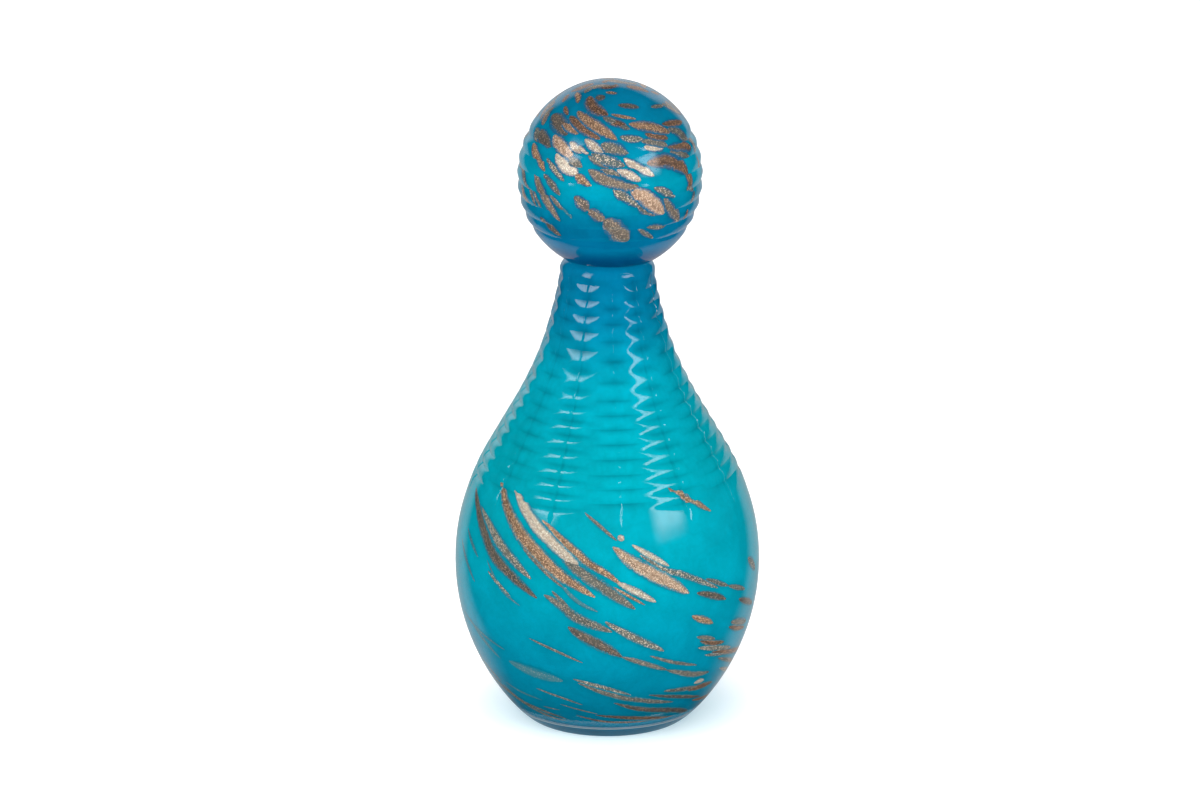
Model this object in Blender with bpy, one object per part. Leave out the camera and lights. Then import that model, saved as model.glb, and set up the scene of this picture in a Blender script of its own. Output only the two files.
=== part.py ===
# Decorative bottle with a ball stopper, in cased and cut glass.
#
# Only two things come apart: the bottle and its stopper. Each is made of layers of hot
# glass, one fused over the other: an opaque turquoise core, a scatter of copper glitter
# chips drawn out along the swirl, and a clear casing that is cut on the cold glass.
# Each layer is a solid of its own here. The stopper also has a ground peg.
#
# The origin is the middle of the foot, on the surface that the bottle stands on. +Z runs
# up the bottle's axis, and the front faces -Y. Azimuths run from the front towards +X.

import math

import bmesh
import bpy
from mathutils import Vector

# Outside of the bottle, in metres.
BOTTLE_HEIGHT = 0.2420
BELLY_RADIUS = 0.0777
BELLY_HEIGHT = 0.0815
FOOT_RADIUS = 0.0416
LIP_ROUND_HEIGHT = 0.0058
LIP_FLAT = 0.0019

# Layers of the bottle.
CASING_WALL = 0.0043
CORE_WALL = 0.0033
FOOT_THICKNESS = 0.0070
CORE_CORNER = 0.0040
BORE_RADIUS = 0.0160
BORE_FLARE = 0.0080

# Gap that stands for the fused face between two layers, and the wider one that holds the
# copper streaks.
SEAM = 0.0003
STREAK_SEAM = 0.0013

# The lip is as wide as the layers round its bore.
LIP_RADIUS = BORE_RADIUS + CORE_WALL + SEAM + CASING_WALL

# Cuts on the bottle's neck and shoulder.
CUT_DEPTH = 0.0012
SPINE_DEPTH = 0.0009
SPINE_TAIL = 0.0060

# Ball stopper. The ball was shaped by hand and sits a little off its peg.
BALL_RADIUS = 0.0465
BALL_HALF_HEIGHT = 0.0484
BALL_OFFSET = 0.0013
BALL_CASING_WALL = 0.0050
STEM_RADIUS = 0.0100
BALL_CUT_DEPTH = 0.0007
BALL_FLAT_DEPTH = 0.0012

# Ground peg, and the bore that it seats in.
PEG_LENGTH = 0.0260
PEG_CLEARANCE = 0.0003
PEG_BEVEL = 0.0008
BORE_SPARE = 0.0020

# Copper streaks: chips of glitter glass drawn out along the swirl.
STREAK_THICKNESS = 0.0005
STREAK_WIDTH = 0.0050
STREAK_STEP = 0.0070
STREAK_LEAST_STEPS = 4

# Vertices nearer than this are one vertex, and edges bent by more than this stay sharp.
MERGE_DISTANCE = 0.00001
SHARP_ANGLE = math.radians(30)

# Shape of the outside. Below the belly it is a power curve; above it a smooth curve runs
# through pairs of shares, up from the belly to the lip and in from the belly's radius to
# the lip's.
BELLY_POWER_SHARE = 0.85
NECK_SHARES = (
    (0.0, 1.0), (0.1, 0.981), (0.2, 0.915), (0.32, 0.781), (0.445, 0.575), (0.57, 0.364),
    (0.695, 0.196), (0.82, 0.082), (0.93, 0.011), (1.0, 0.0),
)
LIP_POWER_SHARE = 1.5
LIP_ARC_SHARES = (0.93, 0.8, 0.62, 0.45)

# Heights of the cuts, between the two ends of their band, and of the layers' stations, as
# shares of the bottle's height. Every second column has its cuts halfway between these.
CUT_SHARES = (
    0.521, 0.547, 0.574, 0.600, 0.628, 0.656, 0.683, 0.709,
    0.736, 0.770, 0.810, 0.849, 0.883, 0.914, 0.945, 0.976,
)
LAYER_SHARES = (
    0.005, 0.020, 0.045, 0.080, 0.120, 0.165, 0.210, 0.255, 0.300, 0.345, 0.390, 0.435,
    0.480, 0.525, 0.600, 0.680, 0.760, 0.840, 0.910,
)
LOWER_STATIONS = 11

# Cut columns round the neck.
COLUMNS = 12
COLUMN_SIDES = 4
SIDES = COLUMNS * COLUMN_SIDES
FIRST_COLUMN = math.radians(6)

# Cuts of the ball: long ones round each side and shorter ones in front and behind, each
# column with its middle and half its width, and a broad flat low on each side.
BALL_FRONT = math.radians(-2)
BALL_SHORT_CUT = math.radians(30)
BALL_LONG_CUT = math.radians(60)
BALL_COLUMNS = (
    (BALL_FRONT, BALL_SHORT_CUT),
    (BALL_FRONT + math.pi / 2, BALL_LONG_CUT),
    (BALL_FRONT + math.pi, BALL_SHORT_CUT),
    (BALL_FRONT - math.pi / 2, BALL_LONG_CUT),
)
BALL_CUTS = 7
BALL_TOP_CUT = math.radians(26.8)
BALL_CUT_STEP = math.radians(9.6)
BALL_CUT_ROWS = tuple(BALL_TOP_CUT - BALL_CUT_STEP * index for index in range(BALL_CUTS))
BALL_RIDGES = tuple(
    BALL_TOP_CUT + BALL_CUT_STEP / 2 - BALL_CUT_STEP * index for index in range(BALL_CUTS + 1))
BALL_FLAT_AZIMUTHS = (math.radians(90), math.radians(-90))
BALL_FLAT_LATITUDE = math.radians(-48)
BALL_LATITUDE_STEP = math.radians(12)

# The peg's and bore's taper is the usual one of laboratory stoppers: the diameter falls
# by a tenth of the length.
TAPER_SHARE = 0.05

# Places of the larger streaks: azimuth in degrees and height as a share of the bottle's,
# at the start, the middle and the end of each, then its width as a share.
BOTTLE_STREAK_SHARES = (
    ((-58, 0.557), (-40, 0.463), (-5, 0.357), 1.0),
    ((-47, 0.553), (-32, 0.497), (-18, 0.441), 1.0),
    ((-14, 0.424), (-3, 0.384), (11, 0.329), 1.0),
    ((-29, 0.507), (-7, 0.428), (4, 0.392), 0.5),
    ((6, 0.383), (13, 0.362), (19, 0.341), 0.6),
    ((-77, 0.515), (-50, 0.412), (-28, 0.343), 0.9),
    ((-66, 0.493), (-49, 0.445), (-31, 0.382), 0.8),
    ((-25, 0.352), (-12, 0.310), (2, 0.278), 0.8),
    ((-1, 0.301), (9, 0.267), (23, 0.223), 0.8),
    ((-15, 0.286), (-3, 0.247), (5, 0.222), 1.0),
    ((8, 0.212), (16, 0.196), (25, 0.177), 0.6),
    ((28, 0.169), (36, 0.156), (46, 0.142), 0.6),
    ((-33, 0.246), (-21, 0.225), (-10, 0.201), 0.35),
    ((-13, 0.148), (7, 0.115), (36, 0.080), 0.7),
    ((3, 0.096), (23, 0.072), (44, 0.052), 0.8),
    ((-62, 0.094), (-46, 0.066), (-27, 0.050), 0.5),
    ((-78, 0.243), (-61, 0.217), (-47, 0.200), 0.35),
    ((30, 0.571), (40, 0.538), (50, 0.505), 0.6),
    ((2, 0.464), (15, 0.409), (33, 0.349), 1.3),
    ((13, 0.448), (26, 0.405), (48, 0.346), 0.5),
    ((42, 0.378), (52, 0.350), (67, 0.314), 0.5),
    ((37, 0.333), (44, 0.322), (53, 0.306), 0.7),
    ((35, 0.296), (40, 0.280), (46, 0.265), 0.7),
    ((58, 0.250), (64, 0.240), (74, 0.225), 0.8),
    ((40, 0.214), (50, 0.201), (64, 0.181), 0.6),
)

# The same on the ball, with latitudes in degrees.
BALL_STREAK_SHARES = (
    ((-40, 55), (-12, 45), (6, 36), 1.1),
    ((19, 47), (38, 43), (57, 36), 1.0),
    ((-69, 47), (-50, 42), (-38, 37), 1.1),
    ((-51, 35), (-39, 29), (-28, 24), 1.0),
    ((-42, 24), (-33, 17), (-22, 13), 1.1),
    ((-7, 34), (4, 30), (14, 27), 1.1),
    ((-72, 24), (-59, 18), (-49, 12), 0.8),
    ((-60, 8), (-50, -2), (-37, -20), 0.9),
    ((-15, 16), (0, 9), (20, 5), 0.9),
    ((25, 20), (45, 17), (62, 10), 1.1),
    ((2, 3), (11, -1), (19, -8), 0.8),
    ((14, 5), (25, -2), (40, -13), 1.3),
    ((-24, -2), (-14, -10), (-5, -17), 0.8),
    ((-2, -20), (6, -27), (15, -33), 1.6),
    ((38, -7), (46, -14), (58, -23), 0.8),
)

# The back carries streaks like some of the front's, half a turn further round.
BOTTLE_BACK_STREAKS = (0, 5, 7, 8, 13, 18, 24)
BALL_BACK_STREAKS = (0, 4, 9, 12)
HALF_TURN = 180
STREAK_FULLNESS_SHARE = 0.6
STREAK_TOP_SHARE = 0.62

# Steps used to read the slope of a curve.
SLOPE_STEP_SHARE = 0.002
ANGLE_STEP = math.radians(0.5)

# Places that follow from the sizes above.
SEAT_HEIGHT = BOTTLE_HEIGHT + SEAM
BALL_CENTRE = SEAT_HEIGHT + BALL_HALF_HEIGHT * math.sqrt(1 - (LIP_RADIUS / BALL_RADIUS) ** 2)
BORE_BOTTOM = BOTTLE_HEIGHT - PEG_LENGTH - BORE_SPARE
CUT_ROWS = [BOTTLE_HEIGHT * share for share in CUT_SHARES]
MIDDLE_ROWS = [(low + high) / 2 for low, high in zip(CUT_ROWS, CUT_ROWS[1:])]
BAND_BOTTOM = CUT_ROWS[0]
SPINE_BOTTOM = BAND_BOTTOM - SPINE_TAIL


def clear_scene():
    """Remove every object of the open scene."""
    for item in list(bpy.data.objects):
        bpy.data.objects.remove(item, do_unlink=True)


def glass(name, colour, roughness, transmission=0.0, metallic=0.0):
    """One Principled glass."""
    material = bpy.data.materials.new(name)
    material.use_nodes = True
    shader = material.node_tree.nodes["Principled BSDF"]
    shader.inputs["Base Color"].default_value = (*colour, 1.0)
    shader.inputs["Roughness"].default_value = roughness
    shader.inputs["Metallic"].default_value = metallic
    shader.inputs["Transmission Weight"].default_value = transmission
    material.diffuse_color = (*colour, 1.0)
    return material


def smooth_curve(pairs, place):
    """Value at a place on the smooth curve through pairs of (place, value)."""
    last = len(pairs) - 1
    slopes = [0.0] * len(pairs)
    for index in range(1, last):
        before, after = pairs[index - 1], pairs[index + 1]
        slopes[index] = (after[1] - before[1]) / (after[0] - before[0])
    index = 0
    while index < last - 1 and place > pairs[index + 1][0]:
        index += 1
    (start, low), (end, high) = pairs[index], pairs[index + 1]
    span = end - start
    t = min(max((place - start) / span, 0.0), 1.0)
    rise = low + (high - low) * t * t * (3 - 2 * t)
    lead = slopes[index] * t * (1 - t) ** 2
    trail = slopes[index + 1] * t * t * (1 - t)
    return rise + span * (lead - trail)


def outer_radius(height):
    """Radius of the bottle's uncut outside at a height."""
    if height <= BELLY_HEIGHT:
        swell = 1 - (1 - height / BELLY_HEIGHT) ** 2
        return FOOT_RADIUS + (BELLY_RADIUS - FOOT_RADIUS) * swell ** BELLY_POWER_SHARE
    share = (height - BELLY_HEIGHT) / (BOTTLE_HEIGHT - BELLY_HEIGHT)
    return LIP_RADIUS + (BELLY_RADIUS - LIP_RADIUS) * smooth_curve(NECK_SHARES, share)


def inward(height, depth):
    """Point of the outline's plane at a depth under the outside, square to it."""
    step = BOTTLE_HEIGHT * SLOPE_STEP_SHARE
    low = max(height - step, 0.0)
    slope = (outer_radius(height + step) - outer_radius(low)) / (height + step - low)
    length = math.hypot(1.0, slope)
    return outer_radius(height) - depth / length, height + depth * slope / length


def lip_height(radius):
    """Height of the rounded lip at a radius."""
    flat = BORE_RADIUS + LIP_FLAT
    edge = outer_radius(BOTTLE_HEIGHT - LIP_ROUND_HEIGHT)
    share = min(max((radius - flat) / (edge - flat), 0.0), 1.0)
    drop = 1 - (1 - share ** LIP_POWER_SHARE) ** (1 / LIP_POWER_SHARE)
    return BOTTLE_HEIGHT - LIP_ROUND_HEIGHT * drop


def seam_width(height):
    """Gap between core and casing: wide where the streaks lie, narrow at the neck."""
    return STREAK_SEAM if height <= BOTTLE_HEIGHT * STREAK_TOP_SHARE else SEAM


def layer_heights(depth, floor):
    """Stations whose point at a depth lies over a floor's rounded corner."""
    heights = [BOTTLE_HEIGHT * share for share in LAYER_SHARES]
    return [height for height in heights if inward(height, depth)[1] > floor + CORE_CORNER]


def floor_and_wall(points, floor):
    """Outline from the axis along a floor, round its corner and up the wall."""
    corner = points[0][0] - CORE_CORNER
    return [(0.0, floor), (corner, floor)] + points


def turned(name, outline, azimuth, location=(0.0, 0.0, 0.0)):
    """Solid turned from an outline that starts and ends on the axis."""
    mesh = bpy.data.meshes.new(name)
    shape = bmesh.new()
    sine, cosine = math.sin(azimuth), math.cos(azimuth)
    points = [shape.verts.new((radius * sine, -radius * cosine, height)) for radius, height in outline]
    edges = [shape.edges.new(pair) for pair in zip(points, points[1:])]
    bmesh.ops.spin(
        shape, geom=points + edges, cent=(0, 0, 0), axis=(0, 0, 1),
        angle=2 * math.pi, steps=SIDES, use_merge=True,
    )
    bmesh.ops.remove_doubles(shape, verts=shape.verts, dist=MERGE_DISTANCE)
    bmesh.ops.recalc_face_normals(shape, faces=shape.faces)
    shape.to_mesh(mesh)
    shape.free()
    piece = bpy.data.objects.new(name, mesh)
    piece.location = location
    bpy.context.scene.collection.objects.link(piece)
    return piece


def finish(piece, material, parent=None):
    """Give a piece its glass, smooth shading and parent."""
    piece.data.materials.append(material)
    piece.data.shade_smooth()
    piece.data.set_sharp_from_angle(angle=SHARP_ANGLE)
    if parent:
        piece.parent = parent
    return piece


def cut_depth(azimuth, height):
    """Depth of the neck's mitre cuts, deepest along their rows and on the column's middle."""
    turn = (azimuth - FIRST_COLUMN) * COLUMNS / (2 * math.pi)
    column = round(turn)
    across = 2 * (turn - column)
    rows = MIDDLE_ROWS if column % 2 else CUT_ROWS[1:-1]
    depth = 0.0
    if any(abs(height - row) < SEAM for row in rows):
        depth = CUT_DEPTH * (1 - across ** 2)
    if abs(across) < 1 / COLUMN_SIDES and SPINE_BOTTOM < height < BAND_BOTTOM:
        depth = SPINE_DEPTH * (height - SPINE_BOTTOM) / SPINE_TAIL
    return depth


def carve_neck(piece):
    """Cut the rows of mitre cuts and their spines into the casing's outside."""
    for vertex in piece.data.vertices:
        radius = math.hypot(vertex.co.x, vertex.co.y)
        if abs(radius - outer_radius(vertex.co.z)) < SEAM:
            depth = cut_depth(math.atan2(vertex.co.x, -vertex.co.y), vertex.co.z)
            vertex.co.xy = vertex.co.xy * (radius - depth) / radius


def bottle_casing(material):
    """Clear casing: the whole outside of the bottle, with the foot and the cuts."""
    lower = [
        SPINE_BOTTOM * (1 - math.cos(math.pi / 2 * index / LOWER_STATIONS))
        for index in range(LOWER_STATIONS + 1)
    ]
    spine_middle = (SPINE_BOTTOM + BAND_BOTTOM) / 2
    stations = sorted(lower + [spine_middle] + CUT_ROWS + MIDDLE_ROWS)
    outside = [(outer_radius(height), height) for height in stations]
    edge = outer_radius(BOTTLE_HEIGHT - LIP_ROUND_HEIGHT)
    flat = BORE_RADIUS + LIP_FLAT
    arc_radii = [flat + (edge - flat) * share for share in LIP_ARC_SHARES]
    lip = [(radius, lip_height(radius)) for radius in arc_radii]
    mouth = LIP_RADIUS - CASING_WALL
    heights = layer_heights(CASING_WALL, FOOT_THICKNESS)
    inside = floor_and_wall([inward(height, CASING_WALL) for height in heights], FOOT_THICKNESS)
    inside.append((mouth, lip_height(mouth)))
    outline = [(0.0, 0.0)] + outside + lip + inside[::-1]
    piece = turned("bottle_casing", outline, FIRST_COLUMN)
    carve_neck(piece)
    return finish(piece, material)


def bottle_core(material):
    """Turquoise vessel inside the casing, ground inside its mouth for the peg."""
    heights = layer_heights(CASING_WALL, FOOT_THICKNESS)
    outside = [inward(height, CASING_WALL + seam_width(height)) for height in heights]
    outside = floor_and_wall(outside, FOOT_THICKNESS + SEAM)
    mouth = LIP_RADIUS - CASING_WALL - SEAM
    outside.append((mouth, lip_height(mouth)))
    floor = FOOT_THICKNESS + SEAM + CORE_WALL
    depth = CASING_WALL + STREAK_SEAM + CORE_WALL
    # Every second station is enough for the inside, which the opaque wall hides.
    wall = []
    for height in layer_heights(depth, floor)[::2]:
        radius, place = inward(height, CASING_WALL + seam_width(height) + CORE_WALL)
        if place < BORE_BOTTOM - BORE_FLARE:
            wall.append((radius, place))
    inside = floor_and_wall(wall, floor)
    inside.append((BORE_RADIUS - TAPER_SHARE * (BOTTLE_HEIGHT - BORE_BOTTOM), BORE_BOTTOM))
    inside.append((BORE_RADIUS, BOTTLE_HEIGHT))
    inside.append((BORE_RADIUS + LIP_FLAT, BOTTLE_HEIGHT))
    return finish(turned("bottle_core", outside + inside[::-1], FIRST_COLUMN), material)


def bottle_layer(azimuth, share):
    """Point in the middle of the seam that holds the bottle's streaks."""
    radius, place = inward(BOTTLE_HEIGHT * share, CASING_WALL + STREAK_SEAM / 2)
    radius *= math.cos(math.pi / SIDES)
    return Vector((radius * math.sin(azimuth), -radius * math.cos(azimuth), place))


def ball_point(inset, latitude):
    """Radius and height over the ball's centre of a shell inset from its outside."""
    radius = (BALL_RADIUS - inset) * math.cos(latitude)
    return radius, (BALL_HALF_HEIGHT - inset) * math.sin(latitude)


def ball_layer(azimuth, degrees):
    """Point in the middle of the seam that holds the ball's streaks."""
    inset = BALL_CASING_WALL + STREAK_SEAM / 2
    radius, place = ball_point(inset, math.radians(degrees))
    radius *= math.cos(math.pi / SIDES)
    return Vector((radius * math.sin(azimuth), -radius * math.cos(azimuth), place))


def streak_point(layer, places, turn, share):
    """Point of a streak's middle line, and the direction out of its layer there."""
    weights = ((1 - share) * (1 - 2 * share), 4 * share * (1 - share), share * (2 * share - 1))
    degrees = sum(weight * place[0] for weight, place in zip(weights, places))
    along = sum(weight * place[1] for weight, place in zip(weights, places))
    azimuth = math.radians(degrees + turn)
    along_step = (places[-1][1] - places[0][1]) * SLOPE_STEP_SHARE
    here = layer(azimuth, along)
    around = layer(azimuth + ANGLE_STEP, along) - here
    down = layer(azimuth, along + along_step) - here
    return here, down.cross(around).normalized()


def streak(name, layer, row, turn, location=(0.0, 0.0, 0.0)):
    """One flattened streak, pointed at both ends and lens-shaped across."""
    *places, width_share = row
    ends = [streak_point(layer, places, turn, share)[0] for share in (0, 1)]
    count = max(STREAK_LEAST_STEPS, math.ceil((ends[1] - ends[0]).length / STREAK_STEP))
    stations = [streak_point(layer, places, turn, index / count) for index in range(count + 1)]
    shape = bmesh.new()
    rings = [[shape.verts.new(stations[0][0])]]
    for index in range(1, count):
        middle, out = stations[index]
        heading = (stations[index + 1][0] - stations[index - 1][0]).normalized()
        share = index / count
        fullness = (4 * share * (1 - share)) ** STREAK_FULLNESS_SHARE
        side = heading.cross(out) * STREAK_WIDTH * width_share * fullness / 2
        thick = out * STREAK_THICKNESS / 2
        corners = (middle + side, middle + thick, middle - side, middle - thick)
        rings.append([shape.verts.new(corner) for corner in corners])
    rings.append([shape.verts.new(stations[count][0])])
    for before, after in zip(rings, rings[1:]):
        corners = max(len(before), len(after))
        for index in range(corners):
            follows = (index + 1) % corners
            if len(before) == 1:
                shape.faces.new((before[0], after[index], after[follows]))
            elif len(after) == 1:
                shape.faces.new((after[0], before[follows], before[index]))
            else:
                shape.faces.new((before[index], after[index], after[follows]))
                shape.faces.new((before[index], after[follows], before[follows]))
    bmesh.ops.recalc_face_normals(shape, faces=shape.faces)
    mesh = bpy.data.meshes.new(name)
    shape.to_mesh(mesh)
    shape.free()
    piece = bpy.data.objects.new(name, mesh)
    piece.location = location
    bpy.context.scene.collection.objects.link(piece)
    return piece


def streaks(prefix, layer, rows, back, material, parent=None, location=(0.0, 0.0, 0.0)):
    """The streaks of a layer: the front's rows, then the back's half a turn round."""
    turned_rows = [(row, 0) for row in rows] + [(rows[index], HALF_TURN) for index in back]
    for number, (row, turn) in enumerate(turned_rows, start=1):
        piece = streak(f"{prefix}_{number:02d}", layer, row, turn, location)
        finish(piece, material, parent)


def seat_latitude(inset, radius):
    """Latitude under the ball's middle at which a shell has a radius."""
    return -math.acos(radius / (BALL_RADIUS - inset))


def ball_latitudes(lowest):
    """Even steps of latitude from the lowest one up to the pole, which is left out."""
    count = round((math.pi / 2 - lowest) / BALL_LATITUDE_STEP)
    return [lowest + (math.pi / 2 - lowest) * index / count for index in range(count)]


def ball_cut_depth(azimuth, latitude):
    """Depth of the ball's mitre cuts, deepest along their rows and on the column's middle."""
    depth = 0.0
    if any(abs(latitude - row) < BALL_CUT_STEP / 4 for row in BALL_CUT_ROWS):
        for middle, half_width in BALL_COLUMNS:
            across = math.remainder(azimuth - middle, 2 * math.pi) / half_width
            depth = max(depth, BALL_CUT_DEPTH * (1 - across ** 2))
    return depth


def carve_ball(piece):
    """Cut the columns and the two side flats into the ball's outside."""
    flat_radius, flat_height = ball_point(BALL_FLAT_DEPTH, BALL_FLAT_LATITUDE)
    for vertex in piece.data.vertices:
        radius = math.hypot(vertex.co.x, vertex.co.y)
        latitude = math.atan2(vertex.co.z * BALL_RADIUS, radius * BALL_HALF_HEIGHT)
        outside = ball_point(0.0, latitude)
        if radius > SEAM and abs(radius - outside[0]) < SEAM:
            depth = ball_cut_depth(math.atan2(vertex.co.x, -vertex.co.y), latitude)
            vertex.co.xy = vertex.co.xy * (radius - depth) / radius
            for side in BALL_FLAT_AZIMUTHS:
                towards = Vector((math.sin(side), -math.cos(side), 0.0)) * flat_radius
                towards.z = flat_height
                above = vertex.co.dot(towards.normalized()) - towards.length
                if above > 0 and vertex.co.z > SEAT_HEIGHT - BALL_CENTRE + SEAM:
                    vertex.co -= towards.normalized() * above


def stopper_casing(material, lift, centre):
    """Clear casing of the ball, flat underneath and open there for the core's stem."""
    lowest = seat_latitude(0.0, LIP_RADIUS)
    margin = BALL_LATITUDE_STEP / 3
    plain = [
        latitude for latitude in ball_latitudes(lowest)
        if latitude < BALL_RIDGES[-1] - margin or latitude > BALL_RIDGES[0] + margin
    ]
    latitudes = sorted(plain + list(BALL_RIDGES + BALL_CUT_ROWS))
    outside = [ball_point(0.0, latitude) for latitude in latitudes]
    hole = STEM_RADIUS + SEAM
    seat = SEAT_HEIGHT - BALL_CENTRE
    inside = [
        ball_point(BALL_CASING_WALL, latitude)
        for latitude in ball_latitudes(seat_latitude(BALL_CASING_WALL, hole))
    ]
    top = [(0.0, BALL_HALF_HEIGHT), (0.0, BALL_HALF_HEIGHT - BALL_CASING_WALL)]
    outline = [top[1]] + inside[::-1] + [(hole, seat)] + outside + [top[0]]
    piece = turned("stopper_casing", outline, BALL_FRONT, centre)
    carve_ball(piece)
    return finish(piece, material, lift)


def stopper_core(material, lift, centre):
    """Turquoise ball with the short stem that it was gathered on."""
    inset = BALL_CASING_WALL + STREAK_SEAM
    latitudes = ball_latitudes(seat_latitude(inset, STEM_RADIUS))
    wall = [ball_point(inset, latitude) for latitude in latitudes]
    seat = SEAT_HEIGHT - BALL_CENTRE
    outline = [(0.0, seat), (STEM_RADIUS, seat)] + wall + [(0.0, BALL_HALF_HEIGHT - inset)]
    return finish(turned("stopper_core", outline, BALL_FRONT, centre), material, lift)


def stopper_peg(material, lift):
    """Tapered peg, ground to seat in the bottle's mouth."""
    top = BORE_RADIUS - PEG_CLEARANCE
    bottom = top - TAPER_SHARE * (PEG_LENGTH - PEG_BEVEL)
    outline = [
        (0.0, -PEG_LENGTH), (bottom - PEG_BEVEL, -PEG_LENGTH),
        (bottom, PEG_BEVEL - PEG_LENGTH), (top, 0.0), (0.0, 0.0),
    ]
    return finish(turned("stopper_peg", outline, 0.0), material, lift)


def main():
    """Build the bottle and its stopper."""
    clear_scene()
    clear_glass = glass("clear_crystal", (0.86, 0.96, 0.98), 0.03, transmission=1.0)
    turquoise = glass("turquoise_opaline", (0.0, 0.36, 0.49), 0.12)
    copper = glass("copper_glitter_glass", (0.45, 0.24, 0.13), 0.35, metallic=0.6)
    ground_glass = glass("ground_glass", (0.80, 0.88, 0.90), 0.55, transmission=0.8)

    bottle_casing(clear_glass)
    bottle_core(turquoise)
    streaks("bottle_streak", bottle_layer, BOTTLE_STREAK_SHARES, BOTTLE_BACK_STREAKS, copper)

    lift = bpy.data.objects.new("stopper_lift", None)
    lift.location = (0.0, 0.0, BOTTLE_HEIGHT)
    bpy.context.scene.collection.objects.link(lift)
    centre = (BALL_OFFSET, 0.0, BALL_CENTRE - BOTTLE_HEIGHT)
    stopper_casing(clear_glass, lift, centre)
    stopper_core(turquoise, lift, centre)
    streaks(
        "stopper_streak", ball_layer, BALL_STREAK_SHARES, BALL_BACK_STREAKS, copper, lift,
        centre)
    stopper_peg(ground_glass, lift)


main()
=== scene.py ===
"""Looks of a decorative bottle in cased and cut glass, with its ball stopper.

The bottle and the ball are each made of an opaque turquoise core, drawn-out chips of copper
glitter glass and a thick clear casing with cold-cut columns of lens cuts. The casings,
cores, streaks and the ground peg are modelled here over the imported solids, at their places.
"""

import logging
import math
from collections.abc import Callable, Sequence
from dataclasses import dataclass, field
from enum import Enum

import bpy
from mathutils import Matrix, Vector, noise


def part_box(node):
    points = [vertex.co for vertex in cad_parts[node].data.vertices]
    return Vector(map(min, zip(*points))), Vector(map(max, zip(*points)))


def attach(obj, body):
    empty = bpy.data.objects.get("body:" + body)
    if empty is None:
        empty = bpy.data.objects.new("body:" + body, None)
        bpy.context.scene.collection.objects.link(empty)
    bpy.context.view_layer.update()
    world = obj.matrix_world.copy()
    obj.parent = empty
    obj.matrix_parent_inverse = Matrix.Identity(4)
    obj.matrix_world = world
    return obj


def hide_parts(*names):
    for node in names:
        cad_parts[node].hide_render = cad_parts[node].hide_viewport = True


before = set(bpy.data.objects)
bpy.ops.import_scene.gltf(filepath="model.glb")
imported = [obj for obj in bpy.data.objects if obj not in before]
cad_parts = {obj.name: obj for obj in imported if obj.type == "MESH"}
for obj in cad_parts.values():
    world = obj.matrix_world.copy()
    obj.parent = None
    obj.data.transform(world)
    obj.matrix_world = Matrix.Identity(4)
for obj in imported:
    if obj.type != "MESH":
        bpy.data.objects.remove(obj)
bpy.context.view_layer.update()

LOG = logging.getLogger("bottle")
MM = 0.001
MERGE = 0.01 * MM
SHARP = math.radians(24)
# Attribute that holds the painted shade of the cuts on the core behind them.
PAINTED_CUT_SHADE = "painted_cut_shade"
# Inputs of a Mix node that mixes two colours.
SHARE, FIRST, SECOND = 0, 6, 7
# Most that a share of a cut's depth comes to, where a spine crosses a cut. A weight ends at 1.
DEEPEST = 1.5
# How much cuts made by hand differ in depth.
BY_HAND = 0.12

Outline = list[tuple[float, float]]
Pixel = tuple[float, float]


class Slot(Enum):
    """Material slots of the record."""

    CRYSTAL = "clear_crystal"
    OPALINE = "turquoise_opaline"
    COPPER = "copper_glitter_glass"
    GROUND = "ground_glass"


class Tone(Enum):
    """How a streak of glitter glass looks: (dark, middle, bright) hex colours and the flakes' share."""

    COPPER = ("70523F", "A47C62", "FFCCA0", 0.42)
    # Copper chips in a lamp's reflection, drawn lighter: their own colour with a painted highlight.
    GOLD = ("98705A", "C89C80", "FFDCBE", 0.50)
    TAUPE = ("6C6058", "8C7868", "DCBCA0", 0.30)
    # Chips in a lamp's reflection, drawn pale cream: their own colour with a painted highlight.
    CREAM = ("AE9482", "D8BAA2", "FFF0DC", 0.50)
    GREY = ("5C5E58", "7C766C", "D8BEA6", 0.28)
    DARK = ("504C48", "6C6056", "C09C82", 0.26)
    SPARKLY = ("5C6A6C", "7C766A", "FFE4C8", 0.38)
    RED = ("5E4438", "7E5E4A", "DCA078", 0.32)
    FAINT = ("38808C", "54909A", "98B0AC", 0.14)


# Small tools of modelling.


def deselect() -> None:
    """Leave edit mode and select nothing."""
    if bpy.context.object and bpy.context.object.mode != "OBJECT":
        bpy.ops.object.mode_set(mode="OBJECT")
    bpy.ops.object.select_all(action="DESELECT")


def take(piece: bpy.types.Object) -> None:
    """Select one object alone and make it active.

    Args:
        piece: The object.
    """
    deselect()
    piece.select_set(True)
    bpy.context.view_layer.objects.active = piece


def draw_outline(name: str, outline: Outline, azimuth: float) -> bpy.types.Object:
    """Draw an outline as a chain of edges, vertex by vertex, in edit mode.

    Args:
        name: Name of the new object.
        outline: (radius, height) pairs in metres.
        azimuth: Direction in which the outline's plane stands, from -Y towards +X.

    Returns:
        The object, in edit mode, with the whole chain selected.
    """
    deselect()
    bpy.ops.mesh.primitive_plane_add(size=MM, location=(0, 0, 0))
    piece = bpy.context.object
    piece.name = piece.data.name = name
    bpy.ops.object.mode_set(mode="EDIT")
    bpy.ops.mesh.merge(type="CENTER")
    across = Vector((math.sin(azimuth), -math.cos(azimuth), 0))
    here = Vector((0, 0, 0))
    for number, (radius, height) in enumerate(outline):
        there = across * radius + Vector((0, 0, height))
        if number:
            bpy.ops.mesh.extrude_region_move(TRANSFORM_OT_translate={"value": there - here})
        else:
            bpy.ops.transform.translate(value=there - here)
        here = there
    bpy.ops.mesh.select_all(action="SELECT")
    return piece


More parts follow.
